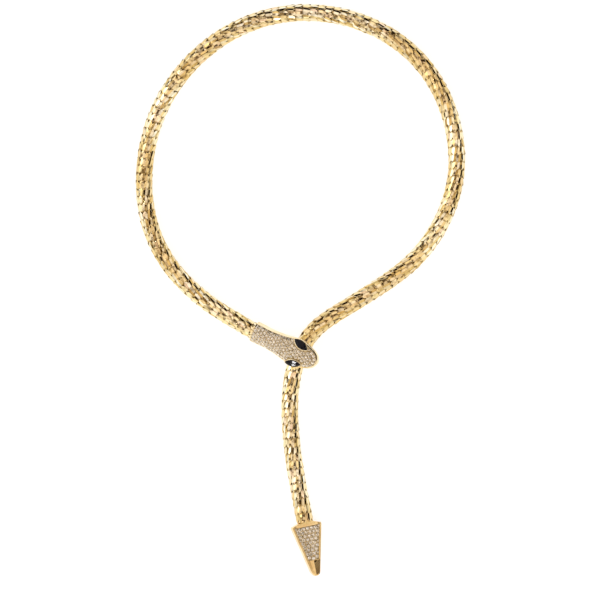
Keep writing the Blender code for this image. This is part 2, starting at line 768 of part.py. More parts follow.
def make_tip(route, gold, crystal, parent):
    place = frame_matrix(route.point(route.length + CLEARANCE), TIP_HEADING, 0.0, -TIP_ROLL)
    roll = math.radians(TIP_ROLL)
    # the lower long edge of the rolled arrow touches the surface that the chain lies on
    under = (CHAIN_RADIUS - ARROW_HALF_WIDTH * math.sin(roll)) / math.cos(roll)
    base = CAP_LENGTH + ARROW_SHOULDER
    cap = (CAP_RADIUS, CAP_RADIUS, CAP_RADIUS, CAP_SQUARENESS * CAP_RADIUS)
    arrow = (ARROW_TOP, under, ARROW_EDGE)
    flare = []
    for station, change, squareness in FLARE_SECTIONS:
        width = CAP_RADIUS + (ARROW_HALF_WIDTH - CAP_RADIUS) * change ** FLARE_CURVE
        top = CAP_RADIUS + (ARROW_TOP - CAP_RADIUS) * change
        bottom = CAP_RADIUS + (under - CAP_RADIUS) * change
        corner = squareness * min(width, top, bottom)
        flare.append((station * CAP_LENGTH, width, top, bottom, corner))
    point = ARROW_POINT_HALF_WIDTH
    sections = (
        (0.0, *cap),
        (0.45 * CAP_LENGTH, *cap),
        *flare,
        (CAP_LENGTH + 0.3 * ARROW_SHOULDER, 0.965 * ARROW_HALF_WIDTH, *arrow),
        (base, arrow_half_width(base), *arrow),
        (TIP_LENGTH - 0.8 * point, arrow_half_width(TIP_LENGTH - 0.8 * point), *arrow),
        (TIP_LENGTH - 0.3 * point, 0.93 * point, *arrow),
        (TIP_LENGTH, 0.62 * point, *arrow),
    )
    rings = [rounded_ring(*section) for section in sections]
    tip = make_object("tail_tip", *loft(rings), gold, parent, place, smooth_angle=40)

    socket = make_object(
        "guide_tip_socket",
        *socket_shape(TAIL_SOCKET_DEPTH), gold, parent, place,
    )
    combine(tip, socket, "DIFFERENCE")
    low = -(BED_THICKNESS + CLEARANCE)
    pocket = make_object(
        "guide_tip_pocket",
        *bed_solid(tip_surface, tip_field(CLEARANCE), [], 0.0, [], 3 * STONE_RISE, low),
        gold, parent, place,
    )
    combine(tip, pocket, "DIFFERENCE")

    field = tip_field(0.0)
    stones = spread_stones(field_outline(field), [], TIP_STONE_RADIUS, TIP_STONE_PITCH)
    points, faces = bed_solid(tip_surface, field, stones, TIP_STONE_RADIUS, [], 0.0, -BED_THICKNESS)
    make_object("tail_pave", points, faces, crystal, parent, place)
    return place


def settle(parent):
    # the origin is the middle of the necklace's box, on the surface that it lies on
    bpy.context.view_layer.update()
    graph = bpy.context.evaluated_depsgraph_get()
    corners = []
    for piece in bpy.context.scene.objects:
        if piece.type != "MESH" or piece.hide_render:
            continue
        shaped = piece.evaluated_get(graph)
        corners += [shaped.matrix_world @ vertex.co for vertex in shaped.data.vertices]
    low = [min(corner[axis] for corner in corners) for axis in range(3)]
    high = [max(corner[axis] for corner in corners) for axis in range(3)]
    parent.location = (-(low[0] + high[0]) / 2, -(low[1] + high[1]) / 2, -low[2])
    bpy.context.view_layer.update()


def main():
    clear_scene()
    gold = make_material("polished gold", (0.83, 0.62, 0.30), 0.22, 1.0)
    crystal = make_material("clear stones", (0.80, 0.76, 0.66), 0.12, 0.3)
    black = make_material("black stones", (0.012, 0.012, 0.014), 0.08, 0.0)
    steel = make_material("gold-plated spring", (0.74, 0.56, 0.30), 0.30, 1.0)
    necklace = bpy.data.objects.new("necklace", None)
    bpy.context.collection.objects.link(necklace)
    route = Route()
    make_chain(route, gold, necklace)
    head_place = make_head(route, gold, crystal, black, necklace)
    make_clip(route, head_place, steel, necklace)
    make_tip(route, gold, crystal, necklace)
    settle(necklace)


main()
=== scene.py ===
from math import acos, asin, atan, atan2, copysign, cos, pi, radians, sin, sqrt, tan, tau

import bmesh
import bpy
import numpy as np
from mathutils import Matrix, Vector
from mathutils.geometry import delaunay_2d_cdt
from numpy.linalg import norm


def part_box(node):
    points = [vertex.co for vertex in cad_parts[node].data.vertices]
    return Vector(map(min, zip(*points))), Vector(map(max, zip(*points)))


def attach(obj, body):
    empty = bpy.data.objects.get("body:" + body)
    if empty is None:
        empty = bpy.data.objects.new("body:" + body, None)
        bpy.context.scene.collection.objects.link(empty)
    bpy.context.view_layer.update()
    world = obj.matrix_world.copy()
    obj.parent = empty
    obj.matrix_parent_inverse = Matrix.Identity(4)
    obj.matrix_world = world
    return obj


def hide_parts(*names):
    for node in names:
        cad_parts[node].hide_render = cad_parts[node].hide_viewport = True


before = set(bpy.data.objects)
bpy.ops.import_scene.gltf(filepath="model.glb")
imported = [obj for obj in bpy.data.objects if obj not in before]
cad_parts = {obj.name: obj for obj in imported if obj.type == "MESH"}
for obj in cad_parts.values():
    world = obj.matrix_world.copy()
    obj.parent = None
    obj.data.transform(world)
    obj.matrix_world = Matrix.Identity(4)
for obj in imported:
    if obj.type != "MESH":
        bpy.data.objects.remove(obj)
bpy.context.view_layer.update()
print("solids loaded:", len(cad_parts))


# one output of a node, so that maths on it reads as maths
class Signal:
    def __init__(self, graph, socket):
        self.graph = graph
        self.socket = socket

    def __getitem__(self, key):
        # another output of the same node
        return Signal(self.graph, self.socket.node.outputs[key])

    def __add__(self, other):
        return self.graph.math("ADD", self, other)

    def __sub__(self, other):
        return self.graph.math("SUBTRACT", self, other)

    def __rsub__(self, other):
        return self.graph.math("SUBTRACT", other, self)

    def __mul__(self, other):
        return self.graph.math("MULTIPLY", self, other)

    def __mod__(self, other):
        return self.graph.math("FLOORED_MODULO", self, other)

    __radd__ = __add__
    __rmul__ = __mul__


class Graph:
    def __init__(self, tree, owner=None):
        self.tree = tree
        self.owner = owner

    def node(self, kind, values=(), **settings):
        # settings first, then values or links of sockets, in order or by key; a colour is three numbers
        made = self.tree.nodes.new(kind)
        for name, setting in settings.items():
            if name == "stops":
                ramp = made.color_ramp
                while len(ramp.elements) < len(setting):
                    ramp.elements.new(0.5)
                for element, (position, colour) in zip(ramp.elements, setting):
                    element.position = position
                    element.color = (*colour, 1.0)
            else:
                setattr(made, name, setting)
        for key, value in values.items() if isinstance(values, dict) else enumerate(values):
            socket = made.inputs[key]
            if isinstance(value, Signal):
                self.tree.links.new(value.socket, socket)
            elif value is not None:
                socket.default_value = (*value, 1.0) if socket.type == "RGBA" else value
        return Signal(self, made.outputs[0]) if len(made.outputs) else None

    def math(self, operation, first, second):
        return self.node("ShaderNodeMath", [first, second], operation=operation)

    def vector(self, operation, first, second=None):
        return self.node("ShaderNodeVectorMath", [first, second], operation=operation)

    def mix(self, share, first, second, blend="MIX"):
        values = {0: share, 6: first, 7: second}
        return self.node("ShaderNodeMix", values, data_type="RGBA", blend_type=blend)[2]

    def attribute(self, name):
        return self.node("ShaderNodeAttribute", attribute_name=name)["Fac"]

    def ramp(self, value, stops):
        return self.node("ShaderNodeValToRGB", [value], stops=stops)

    def spread(self, value, low, high, newLow=0.0, newHigh=1.0):
        return self.node("ShaderNodeMapRange", [value, low, high, newLow, newHigh], clamp=True)

    def noise(self, scale, detail=2.0, roughness=0.5, where=None):
        where = where or self.node("ShaderNodeTexCoord")["Object"]
        values = {"Vector": where, "Scale": scale, "Detail": detail, "Roughness": roughness}
        return self.node("ShaderNodeTexNoise", values)

    def bump(self, height, strength, distance):
        values = {"Height": height, "Strength": strength, "Distance": distance}
        return self.node("ShaderNodeBump", values)

    def chance(self, seed, low=-1.0):
        return self.node("FunctionNodeRandomValue", {2: low, 3: 1.0, "Seed": seed}, data_type="FLOAT")[1]

    def storedVector(self, name):
        return self.node("GeometryNodeInputNamedAttribute", [name], data_type="FLOAT_VECTOR")["Attribute"]

    def store(self, geometry, name, value, kind, domain):
        values = {"Geometry": geometry, "Name": name, "Value": value}
        return self.node("GeometryNodeStoreNamedAttribute", values, data_type=kind, domain=domain)


def newMaterial(name):
    material = bpy.data.materials.new(name)
    material.use_nodes = True
    material.node_tree.nodes.clear()
    return Graph(material.node_tree, material)


def finishMaterial(graph, values):
    shader = graph.node("ShaderNodeBsdfPrincipled", values)
    graph.node("ShaderNodeOutputMaterial", [shader])
    return graph.owner


# polished plate, each scale and each half of it a little different: random tone and painted sheen; a painted
# highlight on the outline; brown patina and painted shade where the scale before lies over it and on the
# underside
scaleLook = {
    # random tone and painted sheen, from deep brown to near-white cream
    "tones": [
        (0.0, (0.66, 0.45, 0.15)), (0.25, (0.97, 0.78, 0.40)), (0.6, (1.0, 0.95, 0.76)),
        (0.85, (0.97, 0.78, 0.40)), (1.0, (1.0, 0.78, 0.58)),
    ],
    # painted highlight on each scale's outline
    "rim": (1.0, 0.90, 0.62),
    "brown": (0.72, 0.49, 0.16),
    # brown patina and painted shade, near black in blotches
    "stain": (0.50, 0.31, 0.08),
    "burnt": (0.16, 0.08, 0.012),
    "glare": (0.84, 0.82, 0.70),
    "roughness": 0.07,
    "grain": 2600.0,
    "blotch": 420.0,
    "stretch": 32.0,
    "cluster": 150.0,
}


def scaleGold():
    graph = newMaterial("scale gold")
    # painted sheen: the two halves of a scale are shifted apart along the tones, as if each facet caught
    # other light
    tone = (graph.attribute("tone") + graph.attribute("half") * 0.43) % 1.0
    grain = graph.noise(scaleLook["grain"], 3.0)
    blotch = graph.noise(scaleLook["blotch"])
    stretch = graph.noise(scaleLook["stretch"], 1.0)
    cluster = graph.noise(scaleLook["cluster"])
    colour = graph.ramp(tone, scaleLook["tones"])
    colour = graph.mix(graph.spread(stretch, 0.48, 0.62, 0.0, 0.55), colour, scaleLook["brown"])
    # painted highlight: the outline rings are mixed towards pale cream
    rim = graph.spread(graph.attribute("edge"), 0.4, 1.0, 0.0, 0.6)
    colour = graph.mix(rim, colour, scaleLook["rim"])
    # brown patina and painted shade where the scale before lies over this one and on the underside, spread
    # by random blotches
    hidden = graph.attribute("recess") + (blotch - 0.5) * 0.5 + (cluster - 0.5) * 0.5
    patinaAndShadeShare = graph.spread(hidden, 0.36, 0.90)
    burnt = graph.spread(blotch + tone * 0.25, 0.60, 0.72)
    stain = graph.mix(burnt, scaleLook["stain"], scaleLook["burnt"])
    return finishMaterial(graph, {
        "Metallic": 1.0,
        "Specular Tint": scaleLook["glare"],
        "Base Color": graph.mix(patinaAndShadeShare, colour, stain),
        "Roughness": scaleLook["roughness"] + (grain - 0.5) * 0.10 + patinaAndShadeShare * 0.25,
        "Normal": graph.bump(grain, 0.25, 0.00002),
    })


# near-black brown on the tube under the scales and in the cuts, painted shade; and the metal that the stones
# are set in, with painted shade in its dark patches between the stones
shadeBrownLook = {
    "stops": [(0.3, (0.035, 0.015, 0.002)), (0.6, (0.42, 0.25, 0.06))],
    "glare": (0.5, 0.28, 0.06),
    "metallic": 1.0,
    "scale": 900.0,
    "grit": 0.5,
    "roughness": 0.30,
    "bump": 0.4,
}
# pale gold metal with near-black patches: painted shade between the stones
bedAndShadeLook = {
    "stops": [(0.35, (0.085, 0.05, 0.016)), (0.62, (0.74, 0.58, 0.32))],
    "glare": (1.0, 1.0, 1.0),
    "metallic": 0.9,
    "scale": 1500.0,
    "grit": 0.6,
    "roughness": 0.22,
    "bump": 0.6,
}


def roughGold(name, look, share=1.0):
    graph = newMaterial(name)
    patch = graph.noise(look["scale"], 3.0, look["grit"]) * share
    return finishMaterial(graph, {
        "Metallic": look["metallic"],
        "Specular Tint": look["glare"],
        "Base Color": graph.ramp(patch, look["stops"]),
        "Roughness": look["roughness"] + patch * 0.2,
        "Normal": graph.bump(patch, look["bump"], 0.0001),
    })


castLook = {
    "bright": (1.0, 0.89, 0.64),
    "deep": (0.92, 0.72, 0.40),
    "tailBright": (0.97, 0.76, 0.40),
    "tailDeep": (0.78, 0.52, 0.20),
    "clipBright": (0.90, 0.70, 0.38),
    "clipDeep": (0.74, 0.52, 0.24),
    "roughness": 0.13,
    "pores": 1900.0,
    "cloud": 160.0,
}


def castGold(name="cast gold", bright="bright", deep="deep", rough=0.0):
    graph = newMaterial(name)
    cloud = graph.noise(castLook["cloud"], 3.0)
    pores = graph.noise(castLook["pores"], 4.0, 0.6)
    return finishMaterial(graph, {
        "Metallic": 1.0,
        "Base Color": graph.mix(graph.spread(cloud, 0.3, 0.7), castLook[bright], castLook[deep]),
        "Roughness": castLook["roughness"] + rough + (pores - 0.5) * 0.12 + cloud * 0.08,
        "Normal": graph.bump(pores + cloud * 2.0, 0.3, 0.00003),
    })


# foil-backed stones, drawn opaque: every facet gets a random colour from near black to near white, painted
# glints and shade in place of the light that real facets catch
stoneGlintsAndShade = [
    (0.0, (0.10, 0.065, 0.035)), (0.22, (0.58, 0.48, 0.34)),
    (0.6, (0.95, 0.82, 0.62)), (0.9, (1.0, 0.99, 0.95)),
]


def clearStone():
    graph = newMaterial("clear stone")
    tone, facet = graph.attribute("tone") * 91.0, graph.attribute("facet") * 37.0
    key = graph.node("ShaderNodeCombineXYZ", [tone, facet])
    chance = graph.node("ShaderNodeTexWhiteNoise", [key], noise_dimensions="2D")
    return finishMaterial(graph, {
        "Metallic": 0.55, "Roughness": 0.09, "Coat Weight": 1.0, "Coat Roughness": 0.02, "Coat IOR": 1.6,
        "Base Color": graph.ramp(chance, stoneGlintsAndShade),
    })


blackLook = {"deep": (0.003, 0.003, 0.004), "cloud": (0.012, 0.010, 0.018), "scale": 300.0}


def blackStone():
    graph = newMaterial("black stone")
    cloud = graph.noise(blackLook["scale"])
    return finishMaterial(graph, {
        "Metallic": 0.0, "IOR": 1.5, "Specular IOR Level": 0.15,
        "Base Color": graph.mix(cloud, blackLook["deep"], blackLook["cloud"]),
        "Roughness": 0.01 + cloud * 0.01,
    })


def addObject(name, data):
    made = bpy.data.objects.new(name, data)
    bpy.context.scene.collection.objects.link(made)
    return made


def newPiece(name, shape, material, smoothAngle=None, matrix=Matrix(), attributes=()):
    points, faces = shape
    mesh = bpy.data.meshes.new(name)
    mesh.from_pydata([tuple(matrix @ Vector(point)) for point in points], [], faces)
    work = bmesh.new()
    work.from_mesh(mesh)
    bmesh.ops.recalc_face_normals(work, faces=work.faces)
    work.to_mesh(mesh)
    work.free()
    if smoothAngle is not None:
        mesh.shade_smooth()
        mesh.set_sharp_from_angle(angle=radians(smoothAngle))
    for title, domain, values in attributes:
        layer = mesh.attributes.new(title, "FLOAT", domain)
        layer.data.foreach_set("value", np.array(values, np.float32))
    mesh.materials.append(material)
    return addObject(name, mesh)


def declare(piece, replaced=None):
    # the necklace is one rigid body
    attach(piece, "root")
    if replaced:
        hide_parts(replaced)
    return piece


def loft(rings, looped=False):
    # skin through rings of equally many points, with a cap at each end or joined end to start
    size = len(rings[0])
    points = [point for ring in rings for point in ring]
    faces = []
    for row in range(len(rings) if looped else len(rings) - 1):
        low = row * size
        high = (row + 1) % len(rings) * size
        for column in range(size):
            following = (column + 1) % size
            faces.append((low + column, low + following, high + following, high + column))
    if not looped:
        faces.append(tuple(range(size)))
        faces.append(tuple(range(len(points) - size, len(points))))
    return points, faces


def joined(shapes):
    points, faces = [], []
    for morePoints, moreFaces in shapes:
        faces += [tuple(len(points) + corner for corner in face) for face in moreFaces]
        points += morePoints
    return points, faces


def onCircle(radius, turn):
    return radius * cos(turn), radius * sin(turn)


def boreRings(ring, radius, depth):
    # straight round bore that opens at the first ring of a casting
    mouth = [onCircle(radius, atan2(z, y)) for _, y, z in ring]
    return [[(station, y, z) for y, z in mouth] for station in (depth, 0.0)]


def frameMatrix(origin, heading, tilt, roll):
    turn = Matrix.Rotation(radians(heading), 4, "Z")
    lift = Matrix.Rotation(radians(-tilt), 4, "Y")
    lean = Matrix.Rotation(radians(roll), 4, "X")
    return Matrix.Translation(origin) @ turn @ lift @ lean


def blended(share, span, low, high, slopeLow, slopeHigh):
    # smooth way from low to high with these slopes at the ends
    square, cube = share ** 2, share ** 3
    return (
        (2 * cube - 3 * square + 1) * low
        + (cube - 2 * square + share) * span * slopeLow
        + (3 * square - 2 * cube) * high
        + (cube - square) * span * slopeHigh
    )


def openTree(name, inputs):
    # inputs: their names under each kind of socket
    tree = bpy.data.node_groups.new(name, "GeometryNodeTree")
    for kind, titles in inputs.items():
        for title in titles:
            tree.interface.new_socket(title, in_out="INPUT", socket_type="NodeSocket" + kind)
    tree.interface.new_socket("Geometry", in_out="OUTPUT", socket_type="NodeSocketGeometry")
    graph = Graph(tree)
    return graph, graph.node("NodeGroupInput")


def placeCopies(graph, given, points, outward, ahead, turn, toneShift):
    # copies of the piece stand on the points, each with a tone of its own, as real meshes
    facing = graph.node("FunctionNodeAxesToRotation", [outward, ahead], primary_axis="Z", secondary_axis="X")
    turn = graph.node("FunctionNodeEulerToRotation", [turn])
    facing = graph.node("FunctionNodeRotateRotation", [facing, turn], rotation_space="LOCAL")
    shape = graph.node("GeometryNodeObjectInfo", {"Object": given["Piece"]}, transform_space="ORIGINAL")
    copies = graph.node("GeometryNodeInstanceOnPoints", {
        "Points": points, "Instance": shape["Geometry"], "Rotation": facing, "Scale": given["Size"],
    })
    copies = graph.store(copies, "tone", graph.chance(given["Seed"] + toneShift, 0.0), "FLOAT", "INSTANCE")
    return graph.node("GeometryNodeRealizeInstances", [copies])


def closeTree(graph, given, geometry):
    values = {"Geometry": geometry, "Material": given["Material"]}
    graph.node("NodeGroupOutput", [graph.node("GeometryNodeSetMaterial", values)])
    return graph.tree


def growTree(name, data, tree, values):
    # plain mesh of what the tree makes from this line or these points
    carrier = addObject(name, data)
    modifier = carrier.modifiers.new(tree.name, "NODES")
    modifier.node_group = tree
    for item in tree.interface.items_tree:
        if item.in_out == "INPUT" and item.name in values:
            modifier[item.identifier] = values[item.name]
    bpy.context.view_layer.update()
    graph = bpy.context.evaluated_depsgraph_get()
    mesh = bpy.data.meshes.new_from_object(carrier.evaluated_get(graph), depsgraph=graph)
    mesh.name = name
    carrier.modifiers.clear()
    bpy.data.objects.remove(carrier, do_unlink=True)
    return addObject(name, mesh)


# Chain

# middle line of the chain from the head's collar to the tail cap: x, y and lift off the floor
chainRoute = [
    (-0.0207, -0.0183, 0.0038), (-0.0288, -0.0137, 0.0022), (-0.0362, -0.0092, 0.0011),
    (-0.0453, -0.0025, 0.0003), (-0.0547, 0.0067, 0.0), (-0.0621, 0.0176, 0.0),
    (-0.0667, 0.0292, 0.0), (-0.0689, 0.0525, 0.0), (-0.0638, 0.0757, 0.0),
    (-0.0517, 0.0959, 0.0), (-0.0340, 0.1113, 0.0), (-0.0119, 0.1203, 0.0),
    (0.0121, 0.1211, 0.0), (0.0353, 0.1136, 0.0), (0.0543, 0.0981, 0.0),
    (0.0656, 0.0764, 0.0), (0.0684, 0.0525, 0.0), (0.0621, 0.0301, 0.0),
    (0.0486, 0.0118, 0.0), (0.0310, -0.0012, 0.0), (0.0217, -0.0070, 0.0),
    (0.0128, -0.0125, 0.0), (0.0053, -0.0188, 0.0), (0.0000, -0.0270, 0.0),
    (-0.0031, -0.0358, 0.0), (-0.0047, -0.0465, 0.0), (-0.0047, -0.0597, 0.0),
    (-0.0036, -0.0715, 0.0), (-0.0019, -0.0830, 0.0), (0.0016, -0.1013, 0.0),
]

chain = {
    "radius": 0.0039,         # over the scales
    "rideRadius": 0.00350,    # middles of the scales from the middle line
    "coreRadius": 0.00300,
    "across": 10,             # scales in one ring
    "ringStep": 0.00330,
    "twist": 8.3,             # each ring is turned from the one before
    "lift": 6.2,              # free ends stand up by this angle
    "roll": 3.0,              # random lean of a scale to either side
    "pitch": 2.0,             # random lean along the chain
    "play": 0.00035,          # random shift along the chain
    "firstRing": 0.0005,      # inside the collar's mouth
    "lastRing": 0.0010,       # before the tail cap
    "tongueRadius": 0.0027,
    "headTongue": 0.0029,
    "tailTongue": 0.0010,
    "gap": 0.0003,            # to the head and to the cap
    "seed": 7,
}

# one scale: a plate along +X with a rim, a ridge between two sloping sides and its root at -X
scaleShape = {
    "side": [
        (-0.00240, 0.00098), (-0.00080, 0.00107), (0.00045, 0.00111), (0.00108, 0.00080),
        (0.00156, 0.00038),
    ],
    "point": 0.00190,
    "rim": 0.00013,
    "thick": 0.00016,
    "rimHeight": 0.00006,
    "slope": 0.15,
    "rootStart": -0.0012,     # brown patina and painted shade from here back, where the scale before lies over it
    "rootFade": 0.0007,
    "smoothAngle": 12,
}


def splineThrough(points, startDirection, endDirection):
    # the same smooth line that the solids follow
    knots = np.array(points)
    chords = norm(np.diff(knots, axis=0), axis=1)
    count = len(knots)
    system = np.zeros((count, count))
    sides = np.zeros((count, 3))
    system[0, 0] = system[-1, -1] = 1.0
    sides[0] = startDirection
    sides[-1] = endDirection
    for row in range(1, count - 1):
        before, after = chords[row - 1], chords[row]
        system[row, row - 1:row + 2] = (after, 2.0 * (before + after), before)
        slopeBefore = (knots[row] - knots[row - 1]) / before
        slopeAfter = (knots[row + 1] - knots[row]) / after
        sides[row] = 3.0 * (after * slopeBefore + before * slopeAfter)
    slopes = np.linalg.solve(system, sides)
    shares = np.linspace(0.0, 1.0, 40, endpoint=False)[:, None]
    spans = []
    for row in range(count - 1):
        spans.append(blended(shares, chords[row], *knots[row:row + 2], *slopes[row:row + 2]))
    return np.vstack(spans + [knots[-1:]])


def chainLine():
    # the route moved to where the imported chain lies
    start = frameMatrix((0, 0, 0), head["heading"], head["tilt"], 0).to_3x3() @ Vector((-1, 0, 0))
    end = frameMatrix((0, 0, 0), tip["heading"], 0, 0).to_3x3() @ Vector((1, 0, 0))
    line = splineThrough([(x, y, chain["radius"] + lift) for x, y, lift in chainRoute], start, end)
    line[:, 2] = np.maximum(line[:, 2], chain["radius"])
    low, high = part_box("snake_chain")
    lineLow, lineHigh = line.min(axis=0), line.max(axis=0)
    halfAcross = ((high.x - low.x) - (lineHigh[0] - lineLow[0])) / 2
    line[:, 0] += (low.x + high.x) / 2 - (lineLow[0] + lineHigh[0]) / 2
    line[:, 1] += high.y - halfAcross - lineHigh[1]
    return line, start, end


def scaleTemplate(material):
    side, rim, thick = scaleShape["side"], scaleShape["rim"], scaleShape["thick"]
    point, ridgeFoot = scaleShape["point"], scaleShape["rimHeight"]
    outline = [(x, -y) for x, y in side] + [(point, 0.0)] + [(x, y) for x, y in reversed(side)]
    inner = [(x, -(y - rim)) for x, y in side] + [(point - rim, 0.0)]
    inner += [(x, y - rim) for x, y in reversed(side)]
    count = len(outline)
    levels = ((outline, -thick), (outline, 0.0), (inner, ridgeFoot))
    points, faces = loft([[(x, y, z) for x, y in line] for line, z in levels])
    faces.pop()               # its top is the ridge
    ridge = len(points)
    points += [(x, 0.0, ridgeFoot + scaleShape["slope"] * (y - rim)) for x, y in side]
    for index in range(len(side)):
        low = 2 * count + index
        high = 3 * count - 1 - index
        if index < len(side) - 1:
            faces.append((low, low + 1, ridge + index + 1, ridge + index))
            faces.append((ridge + index, ridge + index + 1, high - 1, high))
        else:
            faces.append((low, low + 1, ridge + index))
            faces.append((ridge + index, low + 1, high))
    faces.append((2 * count, ridge, 3 * count - 1))
    # marks for brown patina and painted shade: the underside, and the root under the scale before
    recess = []
    for x, _, z in points:
        buried = min(max((scaleShape["rootStart"] - x) / scaleShape["rootFade"], 0.0), 1.0)
        recess.append(1.0 if z < -thick / 2 else buried)
    # outline rings, which get the painted highlight
    edge = [float(index < 2 * count) for index in range(len(points))]
    half = [float(sum(points[corner][1] for corner in face) > 0.0) for face in faces]
    attributes = [("recess", "POINT", recess), ("edge", "POINT", edge), ("half", "FACE", half)]
    angle = scaleShape["smoothAngle"]
    return newPiece("scaleTemplate", (points, faces), material, angle, attributes=attributes)


def scaleTree():
    graph, given = openTree("scales along a line", {
        "Geometry": ["Geometry"],
        "Object": ["Piece"],
        "Int": ["Rings", "Across", "Seed"],
        "Float": ["Size", "Ride Radius", "End", "Twist", "Swing", "Lift", "Roll", "Pitch", "Play"],
        "Material": ["Material"],
    })
    line = graph.node("GeometryNodeTrimCurve", {"Curve": given["Geometry"], 5: given["End"]}, mode="LENGTH")
    line = graph.node("GeometryNodeResampleCurve", {"Curve": line, "Count": given["Rings"]}, mode="COUNT")
    line = graph.node("GeometryNodeSetCurveNormal", {"Curve": line}, mode="Z_UP")
    tilt = graph.node("GeometryNodeInputIndex") * given["Twist"]
    line = graph.node("GeometryNodeSetCurveTilt", {"Curve": line, "Tilt": tilt})
    position = graph.node("GeometryNodeInputPosition")
    line = graph.store(line, "centre", position, "FLOAT_VECTOR", "POINT")
    line = graph.store(line, "along", graph.node("GeometryNodeInputTangent"), "FLOAT_VECTOR", "POINT")
    circle = graph.node("GeometryNodeCurvePrimitiveCircle", {
        "Resolution": given["Across"], "Radius": given["Ride Radius"],
    }, mode="RADIUS")
    sleeve = graph.node("GeometryNodeCurveToMesh", {"Curve": line, "Profile Curve": circle})
    along = graph.storedVector("along")
    outward = graph.vector("NORMALIZE", graph.vector("SUBTRACT", position, graph.storedVector("centre")))
    wave = graph.noise(160.0, 1.0, where=position) - 0.5  # neighbours nod alike
    lean = graph.chance(given["Seed"])
    nod = graph.chance(given["Seed"] + 1.0)
    shift = graph.chance(given["Seed"] + 3.0) * given["Play"]
    shift = graph.node("ShaderNodeVectorMath", {0: along, "Scale": shift}, operation="SCALE")
    sleeve = graph.node("GeometryNodeSetPosition", {"Geometry": sleeve, "Offset": shift})
    turn = graph.node("ShaderNodeCombineXYZ", [
        lean * given["Roll"], (nod + wave * 2.0) * given["Pitch"] - given["Lift"], given["Swing"],
    ])
    scales = placeCopies(graph, given, sleeve, outward, along, turn, 2.0)
    # scales that lean out give way to the floor
    place = graph.node("ShaderNodeSeparateXYZ", [position])
    floored = graph.math("MAXIMUM", place["Z"], 0.00001)
    place = graph.node("ShaderNodeCombineXYZ", [place["X"], place["Y"], floored])
    scales = graph.node("GeometryNodeSetPosition", {"Geometry": scales, "Position": place})
    return closeTree(graph, given, scales)


def makeScales(line, startDirection):
    gold = scaleGold()
    template = scaleTemplate(gold)
    line = np.vstack([line[0] - np.array(startDirection) * chain["firstRing"], line])
    end = float(norm(np.diff(line, axis=0), axis=1).sum()) - chain["lastRing"]
    twist = radians(chain["twist"])
    values = {
        "Piece": template,
        "Size": 1.0,
        "Rings": round(end / chain["ringStep"]) + 1,
        "Across": chain["across"],
        "Ride Radius": chain["rideRadius"],
        "End": end,
        "Twist": twist,
        "Swing": -atan(twist * chain["rideRadius"] / chain["ringStep"]),
        "Play": chain["play"],
        "Seed": chain["seed"],
        "Material": gold,
    }
    for title in ("Lift", "Roll", "Pitch"):
        values[title] = radians(chain[title.lower()])
    curve = bpy.data.curves.new("chain line", "CURVE")
    curve.dimensions = "3D"
    spline = curve.splines.new("POLY")
    spline.points.add(len(line) - 1)
    spline.points.foreach_set("co", np.hstack([line, np.ones((len(line), 1))]).ravel())
    piece = growTree("chainScales", curve, scaleTree(), values)
    bpy.data.objects.remove(template, do_unlink=True)
    declare(piece, "snake_chain")
    print("scales:", len(piece.data.polygons), "faces")


def acrossLine(along):
    # left and up of a line that runs this way
    left = Vector((0, 0, 1)).cross(along).normalized()
    return left, along.cross(left)


def makeCore(line, startDirection, endDirection):
    # near-black tube under the scales, painted shade in the gaps between them, with a bare tongue at each
    # end
    sides = 20
    core, tongue = chain["coreRadius"], chain["tongueRadius"]
    headEnd = line[0] - np.array(startDirection) * chain["headTongue"]
    tailEnd = line[-1] + np.array(endDirection) * chain["tailTongue"]
    stations = [(headEnd, tongue), (line[0], tongue)] + [(point, core) for point in line[:-1:6]]
    stations += [(line[-1], core), (line[-1], tongue), (tailEnd, tongue)]
    last = len(stations) - 1
    rings = []
    for index, (middle, radius) in enumerate(stations):
        ahead = stations[min(index + 1, last)][0] - stations[max(index - 1, 0)][0]
        if index <= 1:        # the straight tongues
            ahead = startDirection
        if index >= last - 2:
            ahead = endDirection
        left, up = acrossLine(Vector(ahead).normalized())
        ring = []
        for corner in range(sides):
            out, high = onCircle(radius, tau * corner / sides)
            ring.append(Vector(middle) + out * left + high * up)
        rings.append(ring)
    brown = roughGold("core shade brown", shadeBrownLook)
    declare(newPiece("chainCore", loft(rings), brown, 40), "snake_chain")


# Stone fields, laid out flat and then bent over the metal that carries them

stones = {
    "head": {"radius": 0.0007, "pitch": 0.00156, "beadSize": 0.00023, "seed": 3},
    "tail": {"radius": 0.0008, "pitch": 0.00178, "beadSize": 0.0002645, "seed": 4},
    "margin": 0.00008,
    "rounds": 3,
    "pushes": 80,
    "push": 0.3,              # share of an overlap that one push takes away
    "beadRadius": 0.00023,
    "fillRadius": 0.00043,    # small stones in what the others leave free
    "fillStep": 0.00012,
    "drawn": 1.06,            # a stone is cut a little larger than its seat
    "seat": 0.00003,
    "beadSeat": 0.00006,
    "bedDrop": 0.00004,
    "bedDepth": 0.0007,
    "pocket": 0.0008,         # in the castings, a little deeper than the bed
}


